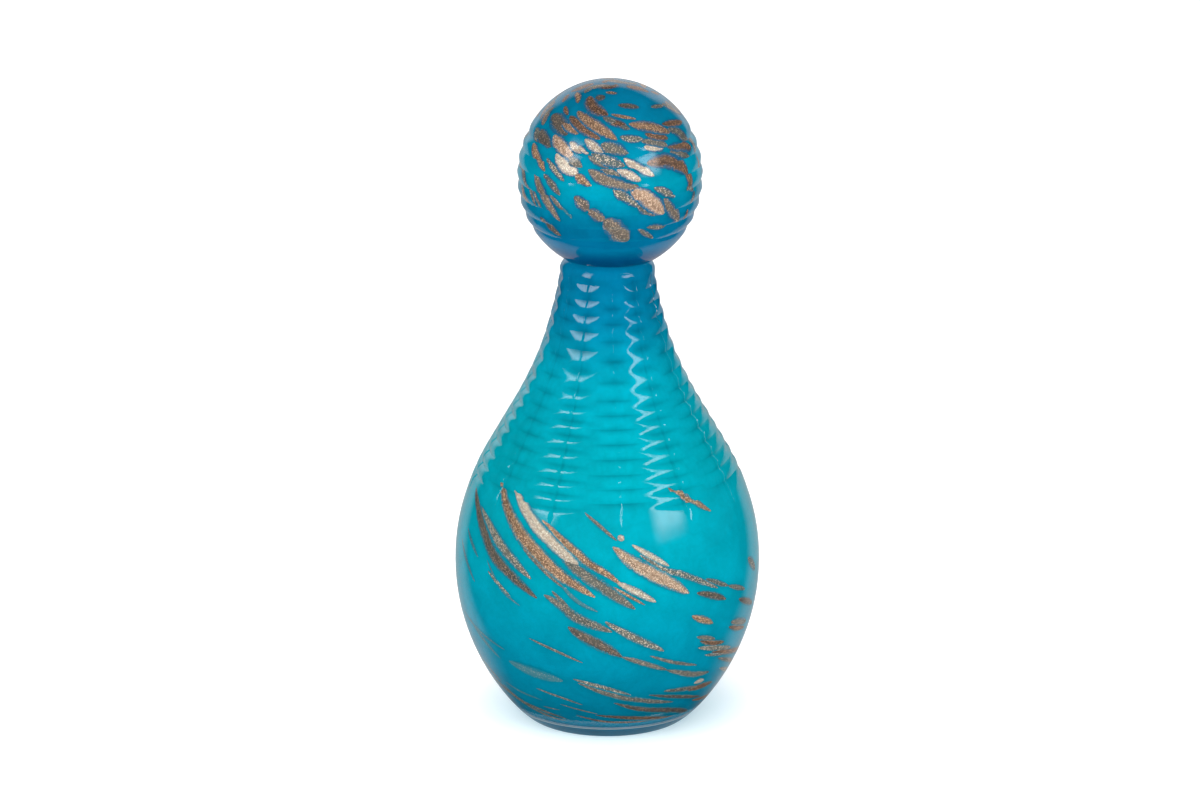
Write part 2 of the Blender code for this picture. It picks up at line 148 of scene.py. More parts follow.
def lathe(
    name: str,
    outline: Outline,
    turns: Sequence[tuple[float, int]],
    azimuth: float = 0.0,
    centre: Sequence[float] = (0.0, 0.0, 0.0),
) -> bpy.types.Object:
    """Turn an outline round the vertical through a centre.

    Args:
        name: Name of the new object.
        outline: (radius, height) pairs, from the axis and back to it.
        turns: (angle, steps) of each part of the turn, which add up to a full turn.
        azimuth: Where the turn starts.
        centre: Foot of the axis.

    Returns:
        The closed solid, in object mode, with its origin at the world's.
    """
    piece = draw_outline(name, outline, azimuth)
    for angle, steps in turns:
        bpy.ops.mesh.spin(steps=steps, angle=angle, center=(0, 0, 0), axis=(0, 0, 1))
    bpy.ops.mesh.select_all(action="SELECT")
    bpy.ops.mesh.remove_doubles(threshold=MERGE)
    bpy.ops.mesh.normals_make_consistent(inside=False)
    bpy.ops.transform.translate(value=centre)
    bpy.ops.object.mode_set(mode="OBJECT")
    return piece


def sink(piece: bpy.types.Object, depth: float, share: Callable[[Vector], float]) -> None:
    """Sink a surface along its normals, each vertex by its own share of a depth.

    Args:
        piece: The object.
        depth: The full depth.
        share: Gives a vertex's share of the depth from its place, up to DEEPEST.
    """
    group = piece.vertex_groups.new(name="cuts")
    for vertex in piece.data.vertices:
        weight = share(vertex.co) / DEEPEST
        if weight > 0:
            group.add([vertex.index], weight, "REPLACE")
    cutter = piece.modifiers.new("cuts", "DISPLACE")
    cutter.vertex_group = group.name
    cutter.mid_level = 0.0
    cutter.strength = -depth * DEEPEST
    take(piece)
    bpy.ops.object.modifier_apply(modifier=cutter.name)
    piece.vertex_groups.clear()


def paint_cut_shade(
    piece: bpy.types.Object, share: Callable[[Vector], float], contrast: float = 1.5,
) -> None:
    """Store on each vertex of a core the painted shade of the cut in front of it: how far it lies behind
    that cut.

    Args:
        piece: The core.
        share: Depth share of the cut in front of a place.
        contrast: Power of the share, which keeps the painted shade behind a shallow cut pale.
    """
    take(piece)
    bpy.ops.geometry.attribute_add(name=PAINTED_CUT_SHADE, domain="POINT", data_type="FLOAT")
    values = piece.data.attributes[PAINTED_CUT_SHADE].data
    for vertex in piece.data.vertices:
        values[vertex.index].value = min(share(vertex.co), 1.0) ** contrast


def dress(
    piece: bpy.types.Object, material: bpy.types.Material, body: str, node: str,
) -> None:
    """Smooth a piece, give it its material and join it to the frame.

    Args:
        piece: The object.
        material: Its material.
        body: Body of the frame that it rides on.
        node: Node of the frame that it stands for.
    """
    take(piece)
    bpy.ops.object.shade_smooth_by_angle(angle=SHARP)
    piece.data.materials.clear()
    piece.data.materials.append(material)
    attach(piece, body)
    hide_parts(node)
    LOG.info("%s: %d faces on %s", piece.name, len(piece.data.polygons), body)


# Small tools of materials.


def linear(hex_colour: str) -> tuple[float, float, float, float]:
    """Linear colour of an sRGB hex value.

    Args:
        hex_colour: Six hex digits.

    Returns:
        Red, green, blue and a full alpha.
    """
    parts = [int(hex_colour[at:at + 2], 16) / 255 for at in (0, 2, 4)]
    red, green, blue = (
        part / 12.92 if part <= 0.04045 else ((part + 0.055) / 1.055) ** 2.4 for part in parts)
    return red, green, blue, 1.0


def add(
    tree: bpy.types.NodeTree, kind: str, inputs: dict | None = None, **settings: str,
) -> bpy.types.Node:
    """Add a node with its settings and its inputs.

    Args:
        tree: The tree.
        kind: The node's type, without the word ShaderNode in front of it.
        inputs: By name or number of the input: a constant, a socket to link, or a node, which
            stands for its first output in use.
        **settings: Properties of the node.

    Returns:
        The node.
    """
    item = tree.nodes.new("ShaderNode" + kind)
    for name, value in settings.items():
        setattr(item, name, value)
    for key, value in (inputs or {}).items():
        if isinstance(value, bpy.types.Node):
            value = next(socket for socket in value.outputs if socket.enabled)
        if isinstance(value, bpy.types.NodeSocket):
            tree.links.new(value, item.inputs[key])
        else:
            item.inputs[key].default_value = value
    return item


def ramp(node: bpy.types.Node, stops: Sequence[tuple[float, str]]) -> bpy.types.Node:
    """Set the stops of a colour ramp.

    Args:
        node: The colour ramp node.
        stops: (place, hex colour) pairs.

    Returns:
        The same node.
    """
    elements = node.color_ramp.elements
    while len(elements) < len(stops):
        elements.new(1.0)
    for element, (place, colour) in zip(elements, stops):
        element.position = place
        element.color = linear(colour)
    return node


def new_material(name: str) -> tuple[bpy.types.Material, bpy.types.NodeTree]:
    """An empty node material.

    Args:
        name: Its name.

    Returns:
        The material and its tree.
    """
    material = bpy.data.materials.new(name)
    material.use_nodes = True
    material.node_tree.nodes.clear()
    return material, material.node_tree


@dataclass(frozen=True)
class ClearCrystal:
    """Lead-free crystal glass, blown, cold-cut on a wheel and acid-polished.

    Polishing leaves the surface mirror-smooth but very slightly wavy, so that highlights
    have soft, wandering edges.
    """

    tint: str = "F6FDFE"
    shadow_tint: str = "F0FAFC"
    ior: float = 1.52
    roughness: float = 0.03
    wave_mm: float = 6.0
    wave_depth_mm: float = 0.05
    wave_strength: float = 0.12

    def material(self) -> bpy.types.Material:
        """Build the material."""
        material, tree = new_material("clear_crystal_polished")
        place = add(tree, "TexCoord").outputs["Object"]
        waves = add(tree, "TexNoise", {"Vector": place, "Scale": 1 / (self.wave_mm * MM), "Detail": 2.0})
        bump = add(tree, "Bump", {
            "Height": waves, "Strength": self.wave_strength, "Distance": self.wave_depth_mm * MM})
        shader = add(tree, "BsdfPrincipled", {
            "Base Color": linear(self.tint), "Roughness": self.roughness, "IOR": self.ior,
            "Transmission Weight": 1.0, "Normal": bump})
        # Lamps shine through the casing on what it holds.
        clear = add(tree, "BsdfTransparent", {"Color": linear(self.shadow_tint)})
        shadow_ray = add(tree, "LightPath").outputs["Is Shadow Ray"]
        mixed = add(tree, "MixShader", {0: shadow_ray, 1: shader, 2: clear})
        add(tree, "OutputMaterial", {"Surface": mixed})
        return material


@dataclass(frozen=True)
class TurquoiseOpaline:
    """Opaque turquoise opaline glass, gathered and blown.

    The colour thins where the glass was blown widest and deepens towards the neck, partly as its own
    colour and partly as painted light and shade; faint cords from the gathering wind through it.

    Attributes:
        name: Name of the material.
        low: Height at which the colours start.
        high: Height at which they end.
        stops: (share of the way up, hex colour) pairs, partly its own colour and partly painted light and
            shade.
        swirls: (size in mm, share of the colour, detail) of the cords and of the grain.
        contrast: Values of a pattern between which it counts.
        painted_shade: Painted shade of the cuts on the core: share of the colour that the deepest cut
            takes away.
    """

    name: str
    low: float
    high: float
    stops: tuple[tuple[float, str], ...]
    roughness: float = 0.35
    swirls: tuple[tuple[float, float, float], ...] = ((16.0, 0.10, 4.0), (2.4, 0.05, 3.0))
    winding: float = 0.8
    contrast: tuple[float, float] = (0.3, 0.7)
    painted_shade: float = 0.36

    def material(self) -> bpy.types.Material:
        """Build the material."""
        material, tree = new_material(self.name)
        place = add(tree, "TexCoord").outputs["Object"]
        height = add(tree, "SeparateXYZ", {"Vector": place}).outputs["Z"]
        share = add(tree, "MapRange", {"Value": height, "From Min": self.low, "From Max": self.high})
        colour = ramp(add(tree, "ValToRGB", {"Fac": share}), self.stops)
        shares = []
        for size, amount, detail in self.swirls:
            swirl = add(tree, "TexNoise", {
                "Vector": place, "Scale": 1 / (size * MM), "Detail": detail,
                "Distortion": self.winding})
            shares.append(add(tree, "MapRange", {
                "Value": swirl, "From Min": self.contrast[0], "From Max": self.contrast[1],
                "To Min": 1 - amount, "To Max": 1 + amount}))
        # Painted shade: every cut spreads the light that goes through it, so the core is painted darker
        # behind it.
        cuts = add(tree, "Attribute", attribute_name=PAINTED_CUT_SHADE).outputs["Fac"]
        shares.append(add(tree, "MapRange", {"Value": cuts, "To Min": 1.0, "To Max": 1 - self.painted_shade}))
        for share in shares:
            colour = add(
                tree, "Mix", {SHARE: 1.0, FIRST: colour, SECOND: share}, data_type="RGBA",
                blend_type="MULTIPLY")
        # The casing is fused to the core, so nothing is mirrored at the seam.
        shader = add(tree, "BsdfPrincipled", {
            "Base Color": colour, "Roughness": self.roughness, "Specular IOR Level": 0.0})
        add(tree, "OutputMaterial", {"Surface": shader})
        return material


@dataclass(frozen=True)
class CopperAventurine:
    """Aventurine glass: copper crystals grown in a melt, crushed and picked up on the gather.

    Each chip is a smear of tiny flat crystals. Most lie dull and brown, and those that face
    a lamp flash gold. Real crystals are under 0.1 mm and are drawn larger here, to show.

    Attributes:
        tone: The streak's look.
        fibre_stretch: Length of a fibre to its width.
        fibre_rows: Fibres across half a chip.
        fibre_stops: Values of the fibres' pattern at the dark and the middle colour.
        flashing: Share of the flakes that flash.
        tilt: How far a flake is tilted out of the chip.
        thin_from: Share of the way to the edge at which the chip starts to thin.
        strands: How much the fibres keep of the thinning chip.
        solid: Values between which the chip closes over the core.
        metallic: Metallic value of the body and of a flashing flake.
        core_and_painted_shadow: Colour of the core as it shows between the flakes, drawn darker than the
            core round the chip as a painted shadow of the chip.
        ball_core_and_painted_shadow: The same on the ball, which starts at the height ball_from.
    """

    tone: Tone
    flake_mm: float = 0.34
    fibre_mm: float = 5.0
    fibre_stretch: float = 6.0
    fibre_rows: float = 1.3
    fibre_stops: tuple[float, float] = (0.36, 0.60)
    flashing: float = 0.5
    tilt: float = 0.20
    speckle_mm: float = 0.7
    thin_from: float = 0.25
    strands: float = 0.9
    solid: tuple[float, float] = (0.02, 0.72)
    metallic: tuple[float, float] = (0.15, 0.65)
    roughness: float = 0.42
    specular: float = 0.2
    core_and_painted_shadow: str = "0090A6"
    ball_core_and_painted_shadow: str = "006E98"
    ball_from: float = 0.243

    def material(self) -> bpy.types.Material:
        """Build the material."""
        dark, middle, bright, share = self.tone.value
        material, tree = new_material(f"copper_aventurine_{self.tone.name.lower()}")
        coordinates = add(tree, "TexCoord").outputs
        place, sheet = coordinates["Object"], coordinates["UV"]
        cells = add(
            tree, "TexVoronoi", {"Vector": place, "Scale": 1 / (self.flake_mm * MM)}).outputs["Color"]
        chance = add(tree, "SeparateColor", {"Color": cells}).outputs["Red"]
        across = add(tree, "SeparateXYZ", {"Vector": sheet}).outputs["Y"]
        stretched = add(tree, "Mapping", {
            "Vector": sheet,
            "Scale": (1 / (self.fibre_stretch * self.fibre_mm), self.fibre_rows, 1.0)})
        fibres = add(tree, "TexNoise", {
            "Vector": stretched, "Scale": 1.0, "Detail": 3.0, "Roughness": 0.5})
        body = ramp(
            add(tree, "ValToRGB", {"Fac": fibres}), tuple(zip(self.fibre_stops, (dark, middle))))
        flake = add(tree, "Math", {0: chance, 1: 1 - share * self.flashing}, operation="GREATER_THAN")
        flaked = add(
            tree, "Mix", {SHARE: flake, FIRST: body, SECOND: linear(bright)}, data_type="RGBA")
        # The chip thins out into single flakes towards its edge.
        edge = add(tree, "Math", {0: across}, operation="ABSOLUTE")
        thin = add(tree, "MapRange", {"Value": edge, "From Min": self.thin_from, "From Max": 1.0})
        speckle = add(tree, "TexNoise", {
            "Vector": place, "Scale": 1 / (self.speckle_mm * MM), "Detail": 2.0})
        left = add(tree, "Math", {0: speckle, 1: thin}, operation="SUBTRACT")
        # Drawing the glass out parts it into strands, with the core showing between them.
        strands = add(tree, "Math", {0: fibres, 1: self.strands, 2: left}, operation="MULTIPLY_ADD")
        solid = add(
            tree, "MapRange", {"Value": strands, "From Min": self.solid[0], "From Max": self.solid[1]},
            interpolation_type="SMOOTHSTEP")
        height = add(tree, "SeparateXYZ", {"Vector": place}).outputs["Z"]
        on_ball = add(tree, "Math", {0: height, 1: self.ball_from}, operation="GREATER_THAN")
        # Between the strands the core shows, drawn darker than round the chip: a painted shadow of the
        # chip.
        core_and_painted_shadow = add(
            tree, "Mix", {SHARE: on_ball, FIRST: linear(self.core_and_painted_shadow), SECOND: linear(self.ball_core_and_painted_shadow)},
            data_type="RGBA")
        colour = add(tree, "Mix", {SHARE: solid, FIRST: core_and_painted_shadow, SECOND: flaked}, data_type="RGBA")
        shiny = add(tree, "MapRange", {
            "Value": flake, "To Min": self.metallic[0], "To Max": self.metallic[1]})
        metal = add(tree, "Math", {0: solid, 1: shiny}, operation="MULTIPLY")
        # Each flake lies at its own small angle.
        off = add(tree, "VectorMath", {0: cells, 1: (0.5, 0.5, 0.5)}, operation="SUBTRACT")
        tilted = add(tree, "VectorMath", {0: off, 3: self.tilt}, operation="SCALE")
        flat = add(tree, "NewGeometry").outputs["Normal"]
        summed = add(tree, "VectorMath", {0: flat, 1: tilted}, operation="ADD")
        normal = add(tree, "VectorMath", {0: summed}, operation="NORMALIZE")
        shader = add(tree, "BsdfPrincipled", {
            "Base Color": colour, "Metallic": metal, "Roughness": self.roughness,
            "Specular IOR Level": self.specular, "Normal": normal})
        add(tree, "OutputMaterial", {"Surface": shader})
        return material


@dataclass(frozen=True)
class GroundGlass:
    """Clear glass ground to a taper with wet grit: frosted, with fine rings round it.

    A wave texture has 20 waves to a unit of its own, which wave_count takes out.
    """

    tint: str = "DCEBEE"
    hollows: str = "C4DADF"
    roughness: float = 0.5
    ior: float = 1.52
    clear: float = 0.6
    ring_mm: float = 0.5
    wave_count: int = 20
    ring_wander: float = 1.5
    grit_mm: float = 0.35
    grit_depth_mm: float = 0.05
    grit_strength: float = 0.35

    def material(self) -> bpy.types.Material:
        """Build the material."""
        material, tree = new_material("ground_glass_frosted")
        place = add(tree, "TexCoord").outputs["Object"]
        rings = add(
            tree, "TexWave",
            {
                "Vector": place, "Scale": 1 / (self.ring_mm * MM) / self.wave_count,
                "Distortion": self.ring_wander, "Detail": 3.0,
            },
            bands_direction="Z").outputs["Fac"]
        grit = add(tree, "TexNoise", {"Vector": place, "Scale": 1 / (self.grit_mm * MM), "Detail": 4.0})
        height = add(tree, "Math", {0: rings, 1: grit}, operation="ADD")
        bump = add(tree, "Bump", {
            "Height": height, "Strength": self.grit_strength, "Distance": self.grit_depth_mm * MM})
        colour = ramp(
            add(tree, "ValToRGB", {"Fac": grit}), ((0.35, self.hollows), (0.65, self.tint)))
        shader = add(tree, "BsdfPrincipled", {
            "Base Color": colour, "Roughness": self.roughness, "IOR": self.ior,
            "Transmission Weight": self.clear, "Normal": bump})
        add(tree, "OutputMaterial", {"Surface": shader})
        return material


@dataclass(frozen=True)
class StudioPaper:
    """Matt white background paper, lit from behind so that the lens sees it white.

    Attributes:
        colour: Its own colour.
        gloss_colour: The same as gloss shows it, near black: a painted dark reflection.
        glow: Light towards the lens, on top of what the lamps give.
        shadow_tint: Colour of the painted shadow beside the foot: what is left of that light there.
        shadow: Distances between which that painted shadow ends, on top of the bottle's own shade.
        mirror_glow: Painted reflection: glow of the part of the paper behind the bottle, which only gloss
            sees, near the floor.
        high_glow: The same high up.
        high: Heights between which it changes.
        narrow: How much less far to the sides that part reaches high up, as a cosine.
        lit: Cosines of the bearings from which and to which that part fades in.
        stand: Distance in front of the bottle from which the bearings are taken.
        back: Places between which that part starts.
        top: Heights at which that part fades out and at which it is full.
        foot_mirror: Painted reflection: light of the paper close to the foot, as gloss shows it.
        foot_ring: Distances between which that light ends.
        fill: Painted light: glow of the paper that only rays through the glass see, which comes up
            through the casing to the core.
        under: Colour of that light under the foot, a painted bluish shade.
        foot: Distances from the axis between which that painted shade under the foot ends.
    """

    colour: str = "F0F0F0"
    gloss_colour: str = "101010"
    glow: float = 0.47
    shadow_tint: str = "B8D8DE"
    shadow: tuple[float, float] = (0.048, 0.090)
    mirror_glow: float = 0.48
    high_glow: float = 0.85
    high: tuple[float, float] = (0.09, 0.86)
    narrow: float = 0.10
    lit: tuple[float, float] = (math.cos(math.radians(46.5)), math.cos(math.radians(35)))
    stand: float = 0.15
    back: tuple[float, float] = (-0.03, 0.03)
    top: tuple[float, float] = (3.3, 2.25)
    foot_mirror: str = "8C9EA6"
    foot_ring: tuple[float, float] = (0.0455, 0.0505)
    fill: float = 1.6
    under: str = "6C94AE"
    foot: tuple[float, float] = (0.038, 0.095)
    grain_mm: float = 3.0
    grain_depth_mm: float = 0.1
    grain_strength: float = 0.04

    def material(self) -> bpy.types.Material:
        """Build the material."""
        material, tree = new_material("studio_paper")
        place = add(tree, "TexCoord").outputs["Object"]
        grain = add(tree, "TexNoise", {"Vector": place, "Scale": 1 / (self.grain_mm * MM), "Detail": 2.0})
        bump = add(tree, "Bump", {
            "Height": grain, "Strength": self.grain_strength, "Distance": self.grain_depth_mm * MM})
        axes = add(tree, "SeparateXYZ", {"Vector": place}).outputs
        level = add(tree, "CombineXYZ", {"X": axes["X"], "Y": axes["Y"]})
        away = add(tree, "VectorMath", {0: level}, operation="LENGTH")
        path = add(tree, "LightPath").outputs
        # Painted shadow: the light towards the lens is less and bluish beside the foot.
        painted_shade = [self.glow * part for part in linear(self.shadow_tint)[:3]] + [1.0]
        black = linear("000000")
        towards_lens = self.round_foot(tree, away, self.shadow, painted_shade, [self.glow] * 3 + [1.0])
        towards_foot = self.round_foot(tree, away, self.foot_ring, linear(self.foot_mirror), black)
        towards_core = self.round_foot(
            tree, away, self.foot, linear(self.under), [self.fill] * 3 + [1.0])
        # Glow by kind of ray: even white towards the lens with a painted shadow beside the foot, painted
        # reflections for gloss, painted light for rays through the glass.
        light = black
        for kind, colour in (
            ("Camera", towards_lens), ("Glossy", self.towards_gloss(tree, axes, level)),
            ("Glossy", towards_foot), ("Transmission", towards_core),
        ):
            part = add(
                tree, "Mix", {SHARE: 1.0, FIRST: colour, SECOND: path[f"Is {kind} Ray"]},
                data_type="RGBA", blend_type="MULTIPLY")
            light = add(
                tree, "Mix", {SHARE: 1.0, FIRST: light, SECOND: part}, data_type="RGBA",
                blend_type="LIGHTEN")
        glow = add(tree, "Emission", {"Color": light})
        # Painted dark reflection: gloss sees the paper near black, so glass that faces the room in front
        # mirrors no bright paper there.
        tint = add(
            tree, "Mix",
            {
                SHARE: path["Is Glossy Ray"], FIRST: linear(self.colour),
                SECOND: linear(self.gloss_colour),
            },
            data_type="RGBA")
        matt = add(tree, "BsdfDiffuse", {"Color": tint, "Normal": bump})
        both = add(tree, "AddShader", {0: matt, 1: glow})
        add(tree, "OutputMaterial", {"Surface": both})
        return material

    def round_foot(
        self, tree: bpy.types.NodeTree, away: bpy.types.Node, span: tuple[float, float],
        near: Sequence[float], far: Sequence[float],
    ) -> bpy.types.Node:
        """Light that changes smoothly with the distance from the bottle's axis.

        Args:
            tree: The tree.
            away: Distance from the axis.
            span: Distances between which the light changes.
            near: Its colour up to the first of them.
            far: Its colour from the second one on.

        Returns:
            The light.
        """
        share = add(
            tree, "MapRange", {"Value": away, "From Min": span[0], "From Max": span[1]},
            interpolation_type="SMOOTHSTEP")
        return add(tree, "Mix", {SHARE: share, FIRST: near, SECOND: far}, data_type="RGBA")

    def towards_gloss(
        self, tree: bpy.types.NodeTree, axes: bpy.types.NodeOutputs, level: bpy.types.Node,
    ) -> bpy.types.Node:
        """Painted reflection: glow that only gloss sees, on the part of the paper behind the bottle where
        the lamps there would light it.

        Args:
            tree: The tree.
            axes: X, Y and Z of the place.
            level: The same place on the floor.

        Returns:
            The light.
        """
        from_front = add(tree, "VectorMath", {0: level, 1: (0.0, self.stand, 0.0)}, operation="ADD")
        bearing = add(tree, "VectorMath", {0: from_front}, operation="NORMALIZE")
        ahead = add(tree, "SeparateXYZ", {"Vector": bearing}).outputs["Y"]
        raised = add(
            tree, "MapRange", {"Value": axes["Z"], "From Min": self.high[0], "From Max": self.high[1]},
            interpolation_type="SMOOTHSTEP")
        reach = add(tree, "Math", {0: raised, 1: -self.narrow, 2: ahead}, operation="MULTIPLY_ADD")
        strength = add(tree, "MapRange", {
            "Value": raised, "To Min": self.mirror_glow, "To Max": self.high_glow})
        light = strength
        for value, (start, end) in ((axes["Z"], self.top), (axes["Y"], self.back), (reach, self.lit)):
            fade = add(
                tree, "MapRange", {"Value": value, "From Min": start, "From Max": end},
                interpolation_type="SMOOTHSTEP")
            light = add(tree, "Math", {0: light, 1: fade}, operation="MULTIPLY")
        return light


# Shapes.


def smooth_curve(pairs: Sequence[tuple[float, float]], place: float) -> float:
    """Value at a place on the smooth curve through pairs of (place, value).

    Args:
        pairs: The pairs, in rising order of place.
        place: Where to read the curve.

    Returns:
        The value.
    """
    last = len(pairs) - 1
    slopes = [0.0] * len(pairs)
    for index in range(1, last):
        before, after = pairs[index - 1], pairs[index + 1]
        slopes[index] = (after[1] - before[1]) / (after[0] - before[0])
    index = 0
    while index < last - 1 and place > pairs[index + 1][0]:
        index += 1
    (start, low), (end, high) = pairs[index], pairs[index + 1]
    span = end - start
    t = min(max((place - start) / span, 0.0), 1.0)
    rise = low + (high - low) * t * t * (3 - 2 * t)
    return rise + span * (slopes[index] * t * (1 - t) ** 2 - slopes[index + 1] * t * t * (1 - t))


def mitre(across: float, off: float, flare: float) -> float:
    """Share of its full depth that a mitre cut has at a place.

    The wheel leaves a sharp line at the bottom of the cut, which runs out to a point at both
    ends. The glass left between two cuts is polished round like a small pillow.

    Args:
        across: Place along the cut, -1 to 1, with 0 on the column's middle.
        off: Distance from the cut's line, as a share of half the way to the next cut.
        flare: Share of the depth that the walls lose evenly; the rest of a wall is round.

    Returns:
        The share, 0 outside the cut.
    """
    full = 1 - across ** 2
    if full <= 0:
        return 0.0
    wall = max(1 - off / full, 0.0)
    return full * (flare * wall + (1 - flare) * wall ** 2)


def share_of_cuts(
    across: float, place: float, rows: Sequence[float], flare: float, seed: float,
) -> float:
    """Depth share at a place among a column's cuts.

    Args:
        across: Place along the cuts, -1 to 1.
        place: Place on the column.
        rows: Places of the cuts on the column, with the band's two ends before and after.
        flare: See mitre.
        seed: Number of the column, which makes each cut a little deeper or shallower.

    Returns:
        The share.
    """
    share = 0.0
    for number, (before, row, after) in enumerate(zip(rows, rows[1:], rows[2:])):
        reach = (row - before if place < row else after - row) / 2
        if number == 0 and place < row or number == len(rows) - 3 and place > row:
            reach *= 2
        uneven = 1 + BY_HAND * noise.noise(Vector((seed * 3.7, number * 2.3, 0.5)))
        share = max(share, mitre(across, abs(place - row) / reach, flare) * uneven)
    return share


@dataclass
class BottleShape:
    """Sizes of the bottle, in metres, and the curves that follow from them.

    Attributes:
        streak_seam: Room for the streaks between the core and the casing.
        corner: Radius of the hollow's and the core's bottom edge.
        taper: Narrowing of the bore to its length.
        spine_tail: Length over which a column's middle cut runs out below the band.
        first_column: Azimuth of the first of the columns.
        flare: See mitre.
        reach: Length of a cut to the width of its column.
        spine_share: Depth of the middle cut to that of a cut.
        spine_half_width: Its half width to that of the column.
        tail_half_widths: The same at its full depth, and the least, where it runs out.
        tail_share: Its depth share there.
        belly_power: Power of the curve from the foot to the belly.
        lip_power: Power of the lip's round.
        neck: (share of the way up from the belly, share of the belly's width over the lip's).
        cut_shares: Heights of the cuts, as shares of the bottle's.
    """

    height: float = 0.2420
    belly_radius: float = 0.0777
    belly_height: float = 0.0815
    foot_radius: float = 0.0416
    lip_radius: float = 0.0239
    lip_round: float = 0.0058
    lip_flat: float = 0.0019
    casing_wall: float = 0.0043
    streak_seam: float = 0.0013
    core_wall: float = 0.0033
    foot_thickness: float = 0.0070
    corner: float = 0.0040
    bore_radius: float = 0.0160
    bore_bottom: float = 0.2140
    bore_flare: float = 0.0080
    taper: float = 0.05
    cut_depth: float = 0.0012
    spine_tail: float = 0.0060
    columns: int = 12
    first_column: float = math.radians(6)
    flare: float = 0.55
    reach: float = 1.16
    spine_share: float = 0.36
    spine_half_width: float = 0.042
    tail_half_widths: tuple[float, float] = (0.10, 0.01)
    tail_share: float = 0.55
    belly_power: float = 0.85
    lip_power: float = 1.5
    neck: tuple[tuple[float, float], ...] = (
        (0.0, 1.0), (0.1, 0.981), (0.2, 0.915), (0.32, 0.781), (0.445, 0.575), (0.57, 0.364),
        (0.695, 0.196), (0.82, 0.082), (0.93, 0.011), (1.0, 0.0),
    )
    cut_shares: tuple[float, ...] = (
        0.521, 0.547, 0.574, 0.600, 0.628, 0.656, 0.683, 0.709,
        0.736, 0.770, 0.810, 0.849, 0.883, 0.914, 0.945, 0.976,
    )

    @property
    def ridges(self) -> list[float]:
        """Heights of the cuts on every second column, between the two ends of their band."""
        return [self.height * share for share in self.cut_shares]

    def rows(self, column: int) -> list[float]:
        """Heights of a column's cuts, half a step apart from one column to the next."""
        rows = self.ridges
        if column % 2:
            rows = [rows[0]] + [(low + high) / 2 for low, high in zip(rows, rows[1:])] + [rows[-1]]
        return rows

    @property
    def spine_bottom(self) -> float:
        """Height at which the spines run out."""
        return self.ridges[0] - self.spine_tail

    def outer_radius(self, height: float) -> float:
        """Radius of the uncut outside at a height."""
        if height <= self.belly_height:
            swell = 1 - (1 - max(height, 0.0) / self.belly_height) ** 2
            over = self.belly_radius - self.foot_radius
            return self.foot_radius + over * swell ** self.belly_power
        share = (height - self.belly_height) / (self.height - self.belly_height)
        return self.lip_radius + (self.belly_radius - self.lip_radius) * smooth_curve(self.neck, share)

    def inward(self, height: float, depth: float) -> tuple[float, float]:
        """Radius and height of the point at a depth under the outside, square to it."""
        step = self.height * 0.002
        low = max(height - step, 0.0)
        slope = (self.outer_radius(height + step) - self.outer_radius(low)) / (height + step - low)
        length = math.hypot(1.0, slope)
        return self.outer_radius(height) - depth / length, height + depth * slope / length

    def lip_height(self, radius: float) -> float:
        """Height of the rounded lip at a radius."""
        flat = self.bore_radius + self.lip_flat
        edge = self.outer_radius(self.height - self.lip_round)
        share = min(max((radius - flat) / (edge - flat), 0.0), 1.0)
        drop = 1 - (1 - share ** self.lip_power) ** (1 / self.lip_power)
        return self.height - self.lip_round * drop

    def layer(self, azimuth: float, height: float, depth: float) -> Vector:
        """Point at a depth under the outside."""
        radius, place = self.inward(height, depth)
        return Vector((radius * math.sin(azimuth), -radius * math.cos(azimuth), place))

    def cut_share(self, azimuth: float, height: float) -> float:
        """Depth of the cuts at a place, as a share of the deepest one.

        Args:
            azimuth: Azimuth in radians.
            height: Height on the outside.

        Returns:
            The share. Cuts made by hand differ a little in depth from one to the next.
        """
        turn = (azimuth - self.first_column) * self.columns / (2 * math.pi)
        column = round(turn)
        across = 2 * (turn - column)
        spine = max(1 - abs(across) / self.spine_half_width, 0.0) * self.spine_share
        low, high = self.ridges[0], self.ridges[-1]
        if low <= height <= high:
            beside = column + (1 if across > 0 else -1)
            return spine + max(
                share_of_cuts(
                    2 * (turn - number) / self.reach, height, self.rows(number), self.flare,
                    number % self.columns)
                for number in (column, beside))
        if not self.spine_bottom < height < low:
            return 0.0
        tail = (height - self.spine_bottom) / self.spine_tail
        wide, least = self.tail_half_widths
        return max(1 - abs(across) / max(wide * tail, least), 0.0) * tail * self.tail_share


